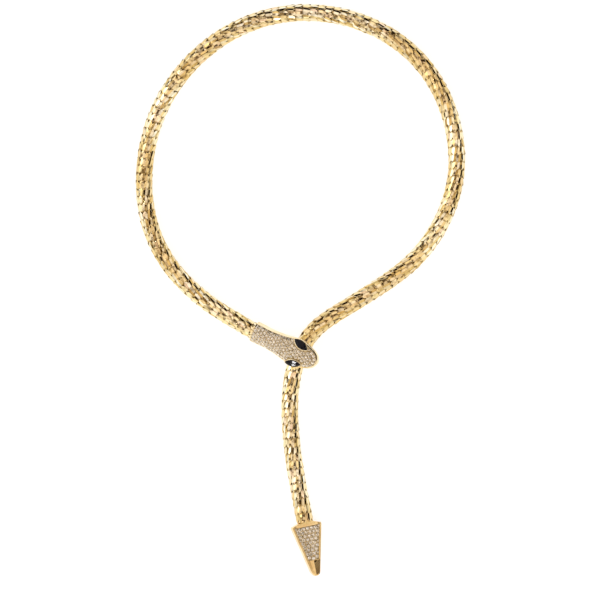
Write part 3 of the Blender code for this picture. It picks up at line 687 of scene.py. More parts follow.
def signedDistances(points, polygon):
    # distance to the polygon's edge, above nought inside it, and the way inwards
    start = np.array(polygon)
    edge = np.roll(start, -1, axis=0) - start
    offset = points[:, None, :] - start
    share = np.clip((offset * edge).sum(axis=2) / (edge * edge).sum(axis=1), 0.0, 1.0)
    gap = offset - share[..., None] * edge
    distance = norm(gap, axis=2)
    nearest = distance.argmin(axis=1)
    rows = np.arange(len(points))
    best = distance[rows, nearest]
    way = gap[rows, nearest] / np.maximum(best, 1e-9)[:, None]
    x, y = points[:, 0:1], points[:, 1:2]
    crosses = (start[:, 1] > y) != ((start + edge)[:, 1] > y)
    rise = np.where(edge[:, 1] == 0.0, 1e-12, edge[:, 1])
    before = x < start[:, 0] + (y - start[:, 1]) * edge[:, 0] / rise
    sign = np.where((crosses & before).sum(axis=1) % 2 == 1, 1.0, -1.0)
    return best * sign, way * sign[:, None]


def clearOf(points, walls):
    # how far each point is on the right side of every wall
    return [signedDistances(points, wall)[0] * side for wall, side in walls]


def pushApart(points, walls, room, pitch):
    for _ in range(stones["pushes"]):
        gap = points[:, None, :] - points[None, :, :]
        distance = norm(gap, axis=2) + np.eye(len(points))
        push = np.clip(pitch - distance, 0.0, None) / distance
        points = points + stones["push"] * (gap * push[..., None]).sum(axis=1)
        for wall, side in walls:
            distance, way = signedDistances(points, wall)
            short = np.clip(room - distance * side, 0.0, None)
            points = points + way * side * short[:, None]
    return points


def spreadStones(walls, radius, pitch):
    # staggered rows that push each other apart inside the outline, as in the solids
    low, high = np.min(walls[0][0], axis=0), np.max(walls[0][0], axis=0)
    room = radius + stones["margin"]
    across = pitch * sqrt(3) / 2
    seeds = []
    columns = int((high[1] - low[1]) / pitch / 2) + 2
    for row in range(int((high[0] - low[0]) / across) + 1):
        for column in range(-columns, columns + 1):
            seeds.append((low[0] + room + row * across, (column + 0.5 * (row % 2)) * pitch))
    points = np.array(seeds)
    points = points[np.min(clearOf(points, walls), axis=0) > 0.45 * radius]
    for _ in range(stones["rounds"]):
        points = pushApart(points, walls, room, pitch)
        free = np.min(clearOf(points, walls), axis=0) > room - stones["margin"] / 2
        kept = []
        for point in points[free]:
            if all(norm(point - other) > 2 * radius + stones["margin"] / 2 for other in kept):
                kept.append(point)
        points = np.array(kept)
    return points


def fillPlaces(centres, walls, bigRadius):
    # the roomiest free place first, until nothing more fits
    radius = stones["fillRadius"]
    low, high = np.min(walls[0][0], axis=0), np.max(walls[0][0], axis=0)
    rows = np.arange(low[0], high[0], stones["fillStep"])
    columns = np.arange(low[1], high[1], stones["fillStep"])
    grid = np.stack(np.meshgrid(rows, columns, indexing="ij"), axis=-1).reshape(-1, 2)
    grid = grid[np.min(clearOf(grid, walls), axis=0) > radius]
    space = norm(grid[:, None, :] - centres[None, :, :], axis=2).min(axis=1) - bigRadius
    places = []
    while len(grid) and space.max() > radius:
        chosen = grid[space.argmax()]
        places.append(chosen)
        space = np.minimum(space, norm(grid - chosen, axis=1) - radius)
    return np.array(places)


def beadPlaces(centres, fillers, pitch, walls):
    # a bead of metal stands wherever three stones meet
    flat = [Vector((x * 1000.0, y * 1000.0)) for x, y in centres]
    places = []
    for triangle in delaunay_2d_cdt(flat, [], [], 0, 1e-5)[2]:
        corners = centres[list(triangle)]
        middle = corners.mean(axis=0)
        if norm(corners - middle, axis=1).max() > 0.9 * pitch:
            continue
        clear = np.min(clearOf(middle[None, :], walls)) > 0.6 * stones["beadRadius"]
        room = norm(fillers - middle, axis=1).min() if len(fillers) else 1.0
        if clear and room > stones["fillRadius"] + 0.4 * stones["beadRadius"]:
            places.append(middle)
    return np.array(places)


# round cut of unit radius: table, stars, mains and upper girdle facets over a shallow back
stoneCut = {"sides": 8, "table": 0.56, "crown": 0.42, "star": 0.80, "starHeight": 0.24, "back": -0.45}


def stoneTemplate(material):
    sides, crown = stoneCut["sides"], stoneCut["crown"]
    turn = tau / sides
    points = [(0.0, 0.0, crown + 0.01)]
    points += [(*onCircle(stoneCut["table"], k * turn), crown) for k in range(sides)]
    points += [(*onCircle(stoneCut["star"], (k + 0.5) * turn), stoneCut["starHeight"]) for k in range(sides)]
    points += [(*onCircle(1.0, k * turn / 2), 0.0) for k in range(2 * sides)]
    points += [(0.0, 0.0, stoneCut["back"])]
    firstStar = 1 + sides
    firstGirdle = firstStar + sides
    culet = len(points) - 1
    faces = []
    for k in range(sides):
        here, following = 1 + k, 1 + (k + 1) % sides
        star, starBefore = firstStar + k, firstStar + (k - 1) % sides
        girdle, middle = firstGirdle + 2 * k, firstGirdle + 2 * k + 1
        girdleNext = firstGirdle + (2 * k + 2) % (2 * sides)
        faces += [
            (0, here, following), (here, star, following), (here, starBefore, girdle, star),
            (star, girdle, middle), (star, middle, girdleNext), (culet, middle, girdle),
            (culet, girdleNext, middle),
        ]
    shares = [index / len(faces) for index in range(len(faces))]
    return newPiece("stoneTemplate", (points, faces), material, attributes=[("facet", "FACE", shares)])


def beadTemplate(material):
    # round-topped grain of unit radius on a short foot
    sides = 7
    rings = []
    for radius, height in [(1.0, -0.6), (1.0, 0.1), (0.82, 0.6), (0.42, 0.92)]:
        rings.append([(*onCircle(radius, tau * k / sides), height) for k in range(sides)])
    return newPiece("beadTemplate", loft(rings), material, 60)


def settingTree():
    graph, given = openTree("pieces set on points", {
        "Geometry": ["Geometry"], "Object": ["Piece"], "Float": ["Size", "Lean"], "Int": ["Seed"],
        "Material": ["Material"],
    })
    points = graph.node("GeometryNodeMeshToPoints", {"Mesh": given["Geometry"]}, mode="VERTICES")
    lean = graph.node("FunctionNodeRandomValue", {
        0: (-1.0, -1.0, -pi), 1: (1.0, 1.0, pi), "Seed": given["Seed"],
    }, data_type="FLOAT_VECTOR")
    limits = graph.node("ShaderNodeCombineXYZ", [given["Lean"], given["Lean"], 1.0])
    turn = graph.vector("MULTIPLY", lean, limits)
    outward, ahead = graph.storedVector("outward"), graph.storedVector("ahead")
    return closeTree(graph, given, placeCopies(graph, given, points, outward, ahead, turn, 5.0))


def setPieces(name, tree, template, size, lean, places, surface, height, matrix, seed):
    # places are flat; surface bends them over the metal
    step = 0.0002
    points, outward, ahead = [], [], []
    turned = matrix.to_3x3()
    for x, y in places:
        here = surface(x, y, height)
        along = (surface(x + step, y, height) - here).normalized()
        across = (surface(x, y + step, height) - here).normalized()
        points.append(tuple(matrix @ here))
        outward.append(tuple(turned @ along.cross(across).normalized()))
        ahead.append(tuple(turned @ along))
    mesh = bpy.data.meshes.new(name)
    mesh.from_pydata(points, [], [])
    for title, values in (("outward", outward), ("ahead", ahead)):
        layer = mesh.attributes.new(title, "FLOAT_VECTOR", "POINT")
        layer.data.foreach_set("vector", np.array(values, np.float32).ravel())
    return growTree(name, mesh, tree, {
        "Piece": template, "Size": size, "Lean": radians(lean), "Seed": seed,
        "Material": template.data.materials[0],
    })


def makeBed(name, matrix, surface, side, material, replaced):
    # thin plate that carries the stones
    columns = 17
    shares = [1 - 2 * column / (columns - 1) for column in range(columns)]
    rings = []
    for station, out in side:
        ring = [surface(station, share * out, -stones["bedDrop"]) for share in shares]
        ring += [surface(station, -share * out, -stones["bedDepth"]) for share in shares]
        rings.append(ring)
    declare(newPiece(name, loft(rings), material, 40, matrix), replaced)


def outlineOf(side, steps=8):
    shares = [1 - 2 * step / steps for step in range(1, steps)]
    front = [(side[-1][0], -share * side[-1][1]) for share in shares]
    back = [(side[0][0], share * side[0][1]) for share in shares]
    return [(station, -out) for station, out in side] + front + side[::-1] + back


def makeField(kind, side, holes, surface, matrix, supplies):
    # bed, stones, small stones in what they leave free, and beads of metal between them
    field = stones[kind]
    makeBed(kind + "Bed", matrix, surface, side, supplies["bed"], kind + "_pave")
    walls = [(outlineOf(side), 1.0)] + [(hole, -1.0) for hole in holes]
    centres = spreadStones(walls, field["radius"], field["pitch"])
    fillers = fillPlaces(centres, walls, field["radius"])
    beads = beadPlaces(centres, fillers, field["pitch"], walls)
    big, small = field["radius"] * stones["drawn"], stones["fillRadius"] * stones["drawn"]
    for ending, shape, size, lean, places, height, shift, slot, replaced in (
        ("Stones", "stone", big, 5.0, centres, stones["seat"], 0, "clear_stones", kind + "_pave"),
        ("Fillers", "stone", small, 7.0, fillers, stones["seat"], 40, "clear_stones", None),
        ("Beads", "bead", field["beadSize"], 8.0, beads, stones["beadSeat"], 20, "cast_gold", None),
    ):
        piece = setPieces(
            kind + ending, supplies["tree"], supplies[shape], size, lean, places, surface, height, matrix,
            field["seed"] + shift,
        )
        declare(piece, replaced)
    print(kind + ":", len(centres), "stones,", len(fillers), "small ones,", len(beads), "beads")


# Head

head = {
    "heading": -26.2,
    "tilt": 12.0,
    "roll": 12.0,
    "length": 0.0317,
    "halfWidth": 0.0063,
    "height": 0.0047,
    "collarRadius": 0.0047,
    "mouthRadius": 0.00405,   # opening that the first scales tuck into
    "mouthDepth": 0.0024,
    "rim": 0.0008,            # plain metal beside the stones
    "collarRim": 0.0006,
    "wall": 0.0012,           # sides of the hollow underside
    "ceiling": 0.0002,
    "hollowBack": 0.0062,
    "hollowFront": 0.0028,
    "bevel": 0.00012,
    "ledge": 0.00005,         # between the bed and the pocket's side
    "snout": [(0.75, 0.00012), (0.35, 0.0002)],  # size and reach of the rings that close it
    "stations": 74,
}

# sections of the head: station, half width, crown, widest line and jaw, as shares of the sizes above
headSections = [
    (0.10, 0.75, 1.00, 0.00, 0.97),
    (0.22, 0.735, 0.97, 0.04, 0.92),
    (0.38, 0.79, 0.94, 0.10, 0.85),
    (0.50, 0.89, 0.92, 0.16, 0.80),
    (0.61, 0.98, 0.90, 0.20, 0.76),
    (0.70, 1.00, 0.86, 0.20, 0.73),
    (0.78, 0.92, 0.80, 0.18, 0.68),
    (0.86, 0.78, 0.71, 0.15, 0.61),
    (0.925, 0.64, 0.62, 0.12, 0.52),
    (0.965, 0.49, 0.54, 0.10, 0.44),
    (0.99, 0.31, 0.46, 0.09, 0.36),
    (1.00, 0.17, 0.40, 0.08, 0.30),
]

eye = {
    "station": 0.02219,
    "out": 0.0045,            # from the middle of the crown, round the dome
    "turn": 18.0,
    "length": 0.0073,
    "width": 0.0034,
    "tiers": [(1.0, -0.0007), (1.0, 0.00042), (0.80, 0.00084), (0.52, 0.00115)],  # size and height
    "seatSlope": 0.00015,
    "margin": 0.00012,
    "bezel": [                # growth round the eye, and height
        (0.00001, -0.0009), (0.00001, 0.00046), (0.00008, 0.00052),
        (0.00020, 0.00048), (0.00030, 0.00036), (0.00036, -0.0009),
    ],
}


def headSection(station):
    # half width, crown, widest line and jaw, smooth between the rows
    collar = head["collarRadius"]
    rows = [(0.0, collar, collar, 0.0, collar)]
    for share, width, crown, widest, jaw in headSections:
        heights = [value * head["height"] for value in (crown, widest, jaw)]
        rows.append((share * head["length"], width * head["halfWidth"], *heights))
    index = 0
    while index < len(rows) - 2 and station > rows[index + 1][0]:
        index += 1
    low, high = rows[index], rows[index + 1]
    before, after = rows[max(index - 1, 0)], rows[min(index + 2, len(rows) - 1)]
    span = high[0] - low[0]
    share = min(max((station - low[0]) / span, 0.0), 1.0)
    values = []
    for column in range(1, 5):
        slopeLow = (high[column] - before[column]) / (high[0] - before[0])
        slopeHigh = (after[column] - low[column]) / (after[0] - low[0])
        values.append(blended(share, span, low[column], high[column], slopeLow, slopeHigh))
    return values


def domeArc(width, rise):
    angles = np.linspace(0.0, pi / 2, 40)
    steps = np.hypot(np.diff(width * np.sin(angles)), np.diff(rise * np.cos(angles)))
    return angles, np.concatenate([[0.0], np.cumsum(steps)])


def headSurface(station, out, height):
    width, crown, widest, _ = headSection(station)
    rise = crown - widest
    angles, arc = domeArc(width, rise)
    angle = copysign(float(np.interp(abs(out), arc, angles)), out)
    normal = Vector((0.0, sin(angle) / width, cos(angle) / rise)).normalized()
    return Vector((station, width * sin(angle), widest + rise * cos(angle))) + height * normal


def headEdge(station, inset):
    width, crown, widest, _ = headSection(min(station + inset / 2, head["length"]))
    angles, arc = domeArc(width, crown - widest)
    reach = max((width - inset) / width, 0.1)
    return float(np.interp(asin(reach), angles, arc))


def marquise(length, width, sides):
    arcRadius = (length ** 2 + width ** 2) / (4 * width)
    halfAngle = asin(length / 2 / arcRadius)
    half = sides // 2
    upper = []
    for step in range(half):
        angle = halfAngle * (1 - 2 * step / half)
        upper.append((arcRadius * sin(angle), arcRadius * cos(angle) - arcRadius + width / 2))
    return upper + [(-x, -y) for x, y in upper]


def eyeOutline(side):
    # the eye's seat with its clearance, laid out flat on the dome
    grow = chain["gap"] + eye["seatSlope"]
    turn = radians(-side * eye["turn"])
    points = []
    for x, y in marquise(eye["length"] + 2 * grow, eye["width"] + 2 * grow, 12):
        along = eye["station"] + x * cos(turn) - y * sin(turn)
        out = side * eye["out"] + x * sin(turn) + y * cos(turn)
        points.append((along, out))
    return points


def eyeReach(station):
    rim = eyeOutline(1)
    reach = 0.0
    for (xLow, yLow), (xHigh, yHigh) in zip(rim, rim[1:] + rim[:1]):
        if min(xLow, xHigh) <= station <= max(xLow, xHigh) and xLow != xHigh:
            share = (station - xLow) / (xHigh - xLow)
            reach = max(reach, yLow + share * (yHigh - yLow))
    return reach


def fieldHalf(station):
    return max(headEdge(station, head["rim"]), eyeReach(station) + eye["margin"])


def headStations(start, end, steps):
    # closer together towards the snout
    shares = [step / steps for step in range(steps + 1)]
    return [start + (end - start) * (share + sin(pi / 2 * share)) / 2 for share in shares]


def eyeFrame(side):
    step = 0.0005
    origin = headSurface(eye["station"], side * eye["out"], 0.0)
    ahead = headSurface(eye["station"] + step, side * eye["out"], 0.0) - origin
    beside = headSurface(eye["station"], side * eye["out"] + step, 0.0) - origin
    normal = ahead.cross(beside).normalized()
    forward = (ahead - normal * ahead.dot(normal)).normalized()
    axes = Matrix((forward, normal.cross(forward), normal)).transposed().to_4x4()
    return Matrix.Translation(origin) @ axes @ Matrix.Rotation(radians(-side * eye["turn"]), 4, "Z")


def headRing(station, pocket, hollow):
    # one section: floor of the stones' pocket, rim, flank, jaw and hollow, first on one side
    width, crown, widest, jaw = headSection(station)
    arcEnd = domeArc(width, crown - widest)[1][-1]
    bevel = head["bevel"]
    edge = min(fieldHalf(station) + head["ledge"], 0.93 * arcEnd)
    depth = stones["pocket"] if pocket else 0.0
    half = [headSurface(station, share * edge, -depth).yz for share in (0.0, 0.35, 0.7, 1.0)]
    half.append(headSurface(station, edge, -bevel if pocket else 0.0).yz)
    half.append(headSurface(station, min(edge + bevel, 0.97 * arcEnd), 0.0).yz)
    for share in (0.25, 0.5, 0.75, 0.9, 1.0):
        half.append(headSurface(station, edge + bevel + (arcEnd - edge - bevel) * share, 0.0).yz)
    reach = max((width - head["wall"]) / width, 0.2)
    limit = acos(reach)
    drop = jaw + widest
    turns = [limit * step / 10 for step in range(1, 11)]
    if not hollow:
        turns += [limit + (pi / 2 - limit) * share for share in (0.25, 0.5, 0.75, 1.0)]
    half += [Vector((width * cos(turn), widest - drop * sin(turn))) for turn in turns]
    if hollow:
        foot = Vector((width * reach, widest - drop * sin(limit)))
        half.append(foot + Vector((-bevel, bevel * 0.6)))
        half.append(Vector((foot.x - bevel, head["ceiling"] - bevel)))
        half.append(Vector((foot.x - 2 * bevel, head["ceiling"])))
        half.append(Vector((0.0, head["ceiling"])))
    ring = [(station, point.x, point.y) for point in half]
    return ring + [(station, -point.x, point.y) for point in reversed(half[1:-1])]


def makeHeadCasting(matrix, gold):
    start, end = head["collarRim"], head["length"] - head["rim"]
    hollowStart, hollowEnd = head["hollowBack"], head["length"] - head["hollowFront"]
    slope = 0.0001
    stations = set(headStations(0.0, head["length"], head["stations"]))
    stations |= {start - slope, start, end, end + slope}
    stations |= {hollowStart - slope, hollowStart, hollowEnd, hollowEnd + slope}
    rings = []
    for station in sorted(stations):
        rings.append(headRing(station, start <= station <= end, hollowStart <= station <= hollowEnd))
    bore = boreRings(rings[0], head["mouthRadius"], head["mouthDepth"])
    lip = [(0.0, y * 0.98, z * 0.98) for _, y, z in rings[0]]
    rings[0] = [(along + 0.0001, y, z) for along, y, z in rings[0]]
    last = rings[-1]
    middle = Vector(last[0]).lerp(Vector(last[len(last) // 2]), 0.5)
    for share, ahead in head["snout"]:
        rings.append([tuple(middle.lerp(Vector(point), share) + Vector((ahead, 0, 0))) for point in last])
    piece = newPiece("headCasting", loft(bore + [lip] + rings), gold, 38, matrix)
    declare(piece, "head_casting")


def makeEye(name, side, matrix, material):
    # two tiers of facets under a flat table
    rings = []
    for share, height in eye["tiers"]:
        outline = marquise(eye["length"] * share, eye["width"] * share, 20)
        rings.append([(x, y, height) for x, y in outline])
    piece = newPiece(name, loft(rings), material, matrix=matrix @ eyeFrame(side))
    return declare(piece, "eye_left" if side > 0 else "eye_right")


def makeBezels(matrix, gold):
    # thin raised wall round each eye, with its foot in the dome
    shapes = []
    for side in (1, -1):
        place = matrix @ eyeFrame(side)
        rings = []
        for grow, height in eye["bezel"]:
            outline = marquise(eye["length"] + 2 * grow, eye["width"] + 2 * grow, 40)
            rings.append([place @ Vector((x, y, height)) for x, y in outline])
        shapes.append(loft(rings, looped=True))
    declare(newPiece("eyeBezels", joined(shapes), gold, 50))


# Tail tip

tip = {
    "heading": -78.6,
    "roll": 10.0,
    "neckRadius": 0.0033,
    "mouthRadius": 0.0030,
    "capLength": 0.0020,
    "length": 0.0229,
    "halfWidth": 0.0068,
    "pointHalfWidth": 0.0016,
    "top": 0.0027,
    "edge": 0.0004,
    "shoulder": 0.0012,
    "rim": 0.0009,
    "dome": 0.00035,
    "fieldLength": 0.0158,
    "pointDrop": 0.0004,
}


def arrowHalfWidth(station):
    share = (station - tip["capLength"]) / tip["length"]
    return tip["halfWidth"] + (tip["pointHalfWidth"] - tip["halfWidth"]) * share


def tipSurface(station, out, height):
    width = arrowHalfWidth(station) - tip["rim"]
    dome = tip["dome"] * max(1.0 - (out / width) ** 2, 0.0)
    return Vector((station, out, tip["top"] + dome + height))


def tipRing(station, halfWidth, top, bottom, corner, sink=0.0):
    # right-angled section with round corners and the stones' pocket sunk into its top
    inner = halfWidth - corner
    edge = max(min(halfWidth - tip["rim"], inner), 0.0)
    bevel = 0.0001
    half = [(share * edge, top - sink) for share in (0.0, 0.35, 0.7, 1.0)]
    half.append((edge, top - (bevel if sink else 0.0)))
    half.append((min(edge + bevel, inner), top))
    turns = [pi / 2 * step / 6 for step in range(7)]
    for turn in reversed(turns):
        half.append((inner + corner * cos(turn), top - corner + corner * sin(turn)))
    for turn in turns:
        half.append((inner + corner * cos(turn), corner - bottom - corner * sin(turn)))
    half.append((0.0, -bottom))
    ring = [(station, y, z) for y, z in half]
    return ring + [(station, -y, z) for y, z in reversed(half[1:-1])]


def makeTipCasting(matrix, gold):
    roll = radians(tip["roll"])
    under = (chain["radius"] - tip["halfWidth"] * sin(roll)) / cos(roll)
    wide, top, cap = tip["halfWidth"], tip["top"], tip["capLength"]
    start, base = cap + tip["rim"], cap + tip["shoulder"]
    fieldEnd = cap + tip["fieldLength"]
    length = cap + tip["length"]
    point = tip["pointHalfWidth"]
    deep = stones["pocket"]
    slope = 0.0001
    # the neck tucks in under the last scales and widens to the arrow's base
    neck = tip["neckRadius"]
    rings = [tipRing(station, neck, neck, neck, 0.97 * neck) for station in (0.0, 0.30 * cap)]
    for step in range(1, 9):
        share = step / 8
        ease = share * share * (3 - 2 * share)
        width = neck + (0.955 * wide - neck) * share ** 1.6
        height = neck + (top - neck) * ease
        bottom = neck + (under - neck) * ease
        corner = max(min(width, height, bottom) * (0.97 - 0.97 * ease), 1.6 * tip["edge"])
        rings.append(tipRing(cap * (0.30 + 0.72 * share), width, height, bottom, corner))
    rings.append(tipRing(start - slope, 0.975 * wide, top, under, 1.3 * tip["edge"]))
    for share in (0.0, 1.0):
        station = start + (base - start) * share
        width = min(arrowHalfWidth(station), (0.98 + 0.02 * share) * wide)
        rings.append(tipRing(station, width, top, under, 1.3 * tip["edge"], deep))
    stations = [(fieldEnd, deep), (fieldEnd + slope, 0.0)]
    stations += [(fieldEnd + (length - 0.9 * point - fieldEnd) * share, 0.0) for share in (0.3, 0.6, 1.0)]
    for station, sink in stations:
        rings.append(tipRing(station, arrowHalfWidth(station), top, under, 1.2 * tip["edge"], sink))
    for share in (0.35, 0.65, 0.85, 1.0):
        station = length - 0.9 * point * (1 - share)
        width = point * sqrt(1 - (0.85 * share) ** 2)
        drop = tip["pointDrop"] * share ** 2
        rings.append(tipRing(station, width, top - drop, under - drop, 1.2 * tip["edge"]))
    bore = boreRings(rings[0], tip["mouthRadius"], chain["tailTongue"] + chain["gap"])
    declare(newPiece("tailCasting", loft(bore + rings), gold, 38, matrix), "tail_tip")


# slanted cuts on one half of the point
hatch = {
    "count": 6,
    "start": 0.0004,          # past the stones
    "pitch": 0.00108,
    "width": 0.00036,
    "height": 0.00022,
    "bevel": 0.00006,
    "lean": 38.0,
    "floorHeight": 0.00004,
    "inset": 0.00025,         # from the edge of the point
}


def makeHatch(matrix, gold):
    first = tip["capLength"] + tip["fieldLength"] + hatch["start"]
    last = first + hatch["pitch"] * (hatch["count"] - 0.4)
    top = tip["top"]
    low, high = top - 0.0002, top + hatch["floorHeight"]
    rings = []
    for station in (first - 0.0001, last):
        outer = arrowHalfWidth(station) - hatch["inset"]
        section = ((0.0, low), (outer, low), (outer, high), (0.0, high))
        rings.append([(station, y, z) for y, z in section])
    # near-black floor between the cuts: painted shade
    brown = roughGold("cut shade brown", shadeBrownLook, 0.25)
    declare(newPiece("tailCutFloor", loft(rings), brown, matrix=matrix))
    low, high = top - 0.0001, top + hatch["height"]
    bevel, inner = hatch["bevel"], 0.0001
    bars = []
    for index in range(hatch["count"]):
        station = first + hatch["pitch"] * (index + 0.2)
        outer = arrowHalfWidth(station) - hatch["inset"]
        shift = (outer - inner) * tan(radians(hatch["lean"]))
        rings = []
        for out, along in ((inner, 0.5 * shift), (outer, -0.5 * shift)):
            back = station + along
            front = back + hatch["width"]
            section = ((back, low), (back + bevel, high), (front - bevel, high), (front, low))
            rings.append([(x, out, z) for x, z in section])
        bars.append(loft(rings))
    declare(newPiece("tailCuts", joined(bars), gold, matrix=matrix))


# Spring clip under the head

clip = {
    "wall": 0.0009,
    "halfWidth": 0.0024,
    "corner": 0.0002,
    "opening": -25.0,         # from the middle down to each end of the strip
    "post": (0.0016, 0.0021),
}


def makeClip(line, headMatrix):
    axis = headMatrix.to_3x3() @ Vector((1, 0, 0))
    sideways = Vector((-axis.y, axis.x, 0)).normalized()
    offsets = [abs((Vector(point) - headMatrix.translation).dot(sideways)) for point in line[:-1]]
    half = len(line) // 2
    crossing = min(range(half, len(offsets)), key=offsets.__getitem__)
    along = Vector(line[crossing + 2] - line[crossing - 2]).normalized()
    axes = Matrix((along, *acrossLine(along))).transposed().to_4x4()
    place = Matrix.Translation(Vector(line[crossing])) @ axes
    bore = chain["radius"] + chain["gap"]
    outer = bore + clip["wall"]
    wide, corner = clip["halfWidth"], clip["corner"]
    side = [(wide - corner, bore), (wide, bore + corner), (wide, outer - corner), (wide - corner, outer)]
    profile = [(corner - wide, bore)] + side + [(-x, r) for x, r in reversed(side[1:])]
    start = radians(clip["opening"])
    rings = []
    for step in range(41):
        turn = start + (pi - 2 * start) * step / 40
        rings.append([place @ Vector((x, *onCircle(r, turn))) for x, r in profile])
    local = headMatrix.inverted() @ place.translation
    foot, top = local.z + bore + clip["wall"] / 3, head["ceiling"] - chain["gap"]
    x, y = clip["post"]
    corners = [(-x, -y), (-x, y), (x, y), (x, -y)]
    post = [[headMatrix @ Vector((local.x + x, local.y + y, z)) for x, y in corners] for z in (foot, top)]
    gold = castGold("clip gold", "clipBright", "clipDeep", 0.10)
    piece = newPiece("headClip", joined([loft(rings), loft(post)]), gold, 40)
    declare(piece, "head_clip")


# Floor, light and camera

studio = {
    "cameraHeight": 2.0,
    "viewWidth": 0.264,
    "viewCentre": (-0.000195, -0.004376),
    "focus": 0.005,           # height at which the view is as wide as above
    "sensor": 36.0,
    "glintDistance": 1.0,
    "glintFaces": {42: (0.003, 0.003), 43: (0.003, 0.003), 44: (0.003, 0.003), 61: (0.0024, 0.0010)},
    "glintShift": (0.00062, -0.00053, -0.00007),
    "glintRadiance": 90.0,
    "patchScale": 7.0,
    "darkSide": (0.55, 0.83, 0.0),  # the room is darker towards the top right
    "floorSize": 4.0,
    "floorGlow": 0.80,        # the photo's ground is pure white
}


def makeFloor():
    size = studio["floorSize"]
    corners = [(-size, -size, 0), (size, -size, 0), (size, size, 0), (-size, size, 0)]
    graph = newMaterial("white floor")
    white = finishMaterial(graph, {
        "Roughness": 0.9, "Specular IOR Level": 0.1,
        "Emission Color": (1, 1, 1), "Emission Strength": studio["floorGlow"],
        "Base Color": graph.mix(graph.noise(3.0), (0.40, 0.40, 0.40), (0.44, 0.44, 0.44)),
    })
    newPiece("floor", (corners, [(0, 1, 2, 3)]), white)


def makeWorld():
    world = bpy.data.worlds.new("studio")
    bpy.context.scene.world = world
    world.use_nodes = True
    world.node_tree.nodes.clear()
    graph = Graph(world.node_tree)
    direction = graph.node("ShaderNodeTexCoord")["Generated"]
    up = graph.node("ShaderNodeSeparateXYZ", [direction])["Z"]
    patch = graph.noise(studio["patchScale"], 3.0, 0.6, direction)
    side = graph.vector("DOT_PRODUCT", direction, studio["darkSide"])["Value"]
    band = graph.spread(up, 0.08, 0.16) * graph.spread(up, 0.50, 0.66, 1.0, 0.0)
    gloom = graph.spread(side, 0.22, 0.50) * band
    lens = graph.spread(up, 0.955, 0.975)
    patch = patch - gloom * 0.21 - lens * 0.09
    # a warm ceiling with dark gaps lower down, and plain white round the sides
    light = graph.mix(graph.spread(up, 0.35, 0.95), (1.0, 0.98, 0.93), (1.0, 0.89, 0.83))
    share = graph.ramp(patch, [
        (0.385, (0.012, 0.006, 0.001)), (0.405, (0.32, 0.22, 0.11)), (0.45, (0.82, 0.78, 0.70)),
        (0.53, (1.0, 1.0, 1.0)), (0.64, (1.32, 1.32, 1.32)),
    ])
    above = graph.mix(1.0, light, share, "MULTIPLY")
    above = graph.mix(graph.spread(up, 0.03, 0.15), (0.86, 0.86, 0.85), above)
    graph.node("ShaderNodeOutputWorld", [graph.node("ShaderNodeBackground", [above, 1.0])])


def areaLight(name, place, target, size, power):
    light = bpy.data.lights.new(name, "AREA")
    light.shape = "RECTANGLE"
    light.size, light.size_y = size
    light.energy = power
    lamp = addObject(name, light)
    lamp.location = place
    lamp.rotation_mode = "QUATERNION"
    lamp.rotation_quaternion = (Vector(target) - Vector(place)).to_track_quat("-Z", "Y")


def makeLights():
    areaLight("left softbox", (-1.1, 0.3, 0.9), (0, 0, 0), (0.8, 0.8), 2.4)
    areaLight("low strip", (0.05, -0.95, 0.75), (0, 0, 0), (0.5, 0.25), 0.6)


def makeGlints(stone):
    # tiny lamps that some facets of one eye mirror straight up
    for index, size in studio["glintFaces"].items():
        face = stone.data.polygons[index]
        normal = face.normal.normalized()
        target = face.center.copy()
        if len(face.vertices) > 4:
            target += Vector(studio["glintShift"])
        seen = (target - Vector((*studio["viewCentre"], studio["cameraHeight"]))).normalized()
        mirrored = seen - 2 * seen.dot(normal) * normal
        power = studio["glintRadiance"] * pi * size[0] * size[1]
        areaLight("glint", target + mirrored * studio["glintDistance"], target, size, power)


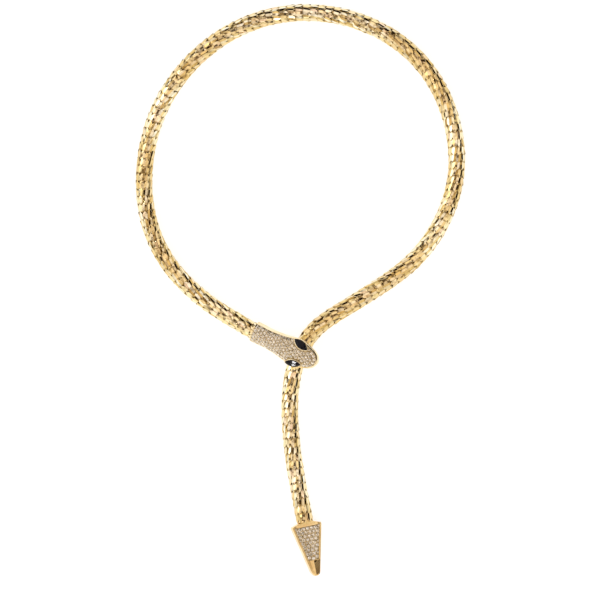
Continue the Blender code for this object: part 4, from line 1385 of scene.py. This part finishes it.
def makeCamera():
    data = bpy.data.cameras.new("camera")
    data.sensor_width = studio["sensor"]
    data.lens = studio["sensor"] * (studio["cameraHeight"] - studio["focus"]) / studio["viewWidth"]
    data.clip_start, data.clip_end = 0.1, 20.0
    camera = addObject("camera", data)
    camera.location = (*studio["viewCentre"], studio["cameraHeight"])
    bpy.context.scene.camera = camera
    bpy.context.scene.view_settings.view_transform = "Standard"


def makeHead(line, startDirection, supplies):
    origin = Vector(line[0]) - Vector(startDirection) * chain["gap"]
    matrix = frameMatrix(origin, head["heading"], head["tilt"], head["roll"])
    makeHeadCasting(matrix, supplies["gold"])
    start, end = head["collarRim"], head["length"] - head["rim"]
    side = [(station, fieldHalf(station)) for station in headStations(start, end, 30)]
    makeField("head", side, [eyeOutline(1), eyeOutline(-1)], headSurface, matrix, supplies)
    black = blackStone()
    makeEye("eyeLeft", 1, matrix, black)
    makeGlints(makeEye("eyeRight", -1, matrix, black))
    makeBezels(matrix, supplies["gold"])
    makeClip(line, matrix)


def makeTip(line, endDirection, supplies):
    origin = Vector(line[-1]) + Vector(endDirection) * chain["gap"]
    matrix = frameMatrix(origin, tip["heading"], 0.0, -tip["roll"])
    gold = castGold("tail gold", "tailBright", "tailDeep")
    makeTipCasting(matrix, gold)
    makeHatch(matrix, gold)
    start, end = tip["capLength"] + tip["rim"], tip["capLength"] + tip["fieldLength"]
    side = [(station, arrowHalfWidth(station) - tip["rim"]) for station in np.linspace(start, end, 10)]
    makeField("tail", side, [], tipSurface, matrix, supplies)


line, startDirection, endDirection = chainLine()
makeScales(line, startDirection)
makeCore(line, startDirection, endDirection)
print("chain done")
gold = castGold()
supplies = {
    "gold": gold,
    "bed": roughGold("setting gold and shade", bedAndShadeLook),
    "stone": stoneTemplate(clearStone()),
    "bead": beadTemplate(gold),
    "tree": settingTree(),
}
makeHead(line, startDirection, supplies)
makeTip(line, endDirection, supplies)
for template in (supplies["stone"], supplies["bead"]):
    bpy.data.objects.remove(template, do_unlink=True)
makeFloor()
makeWorld()
makeLights()
makeCamera()
print("studio done")
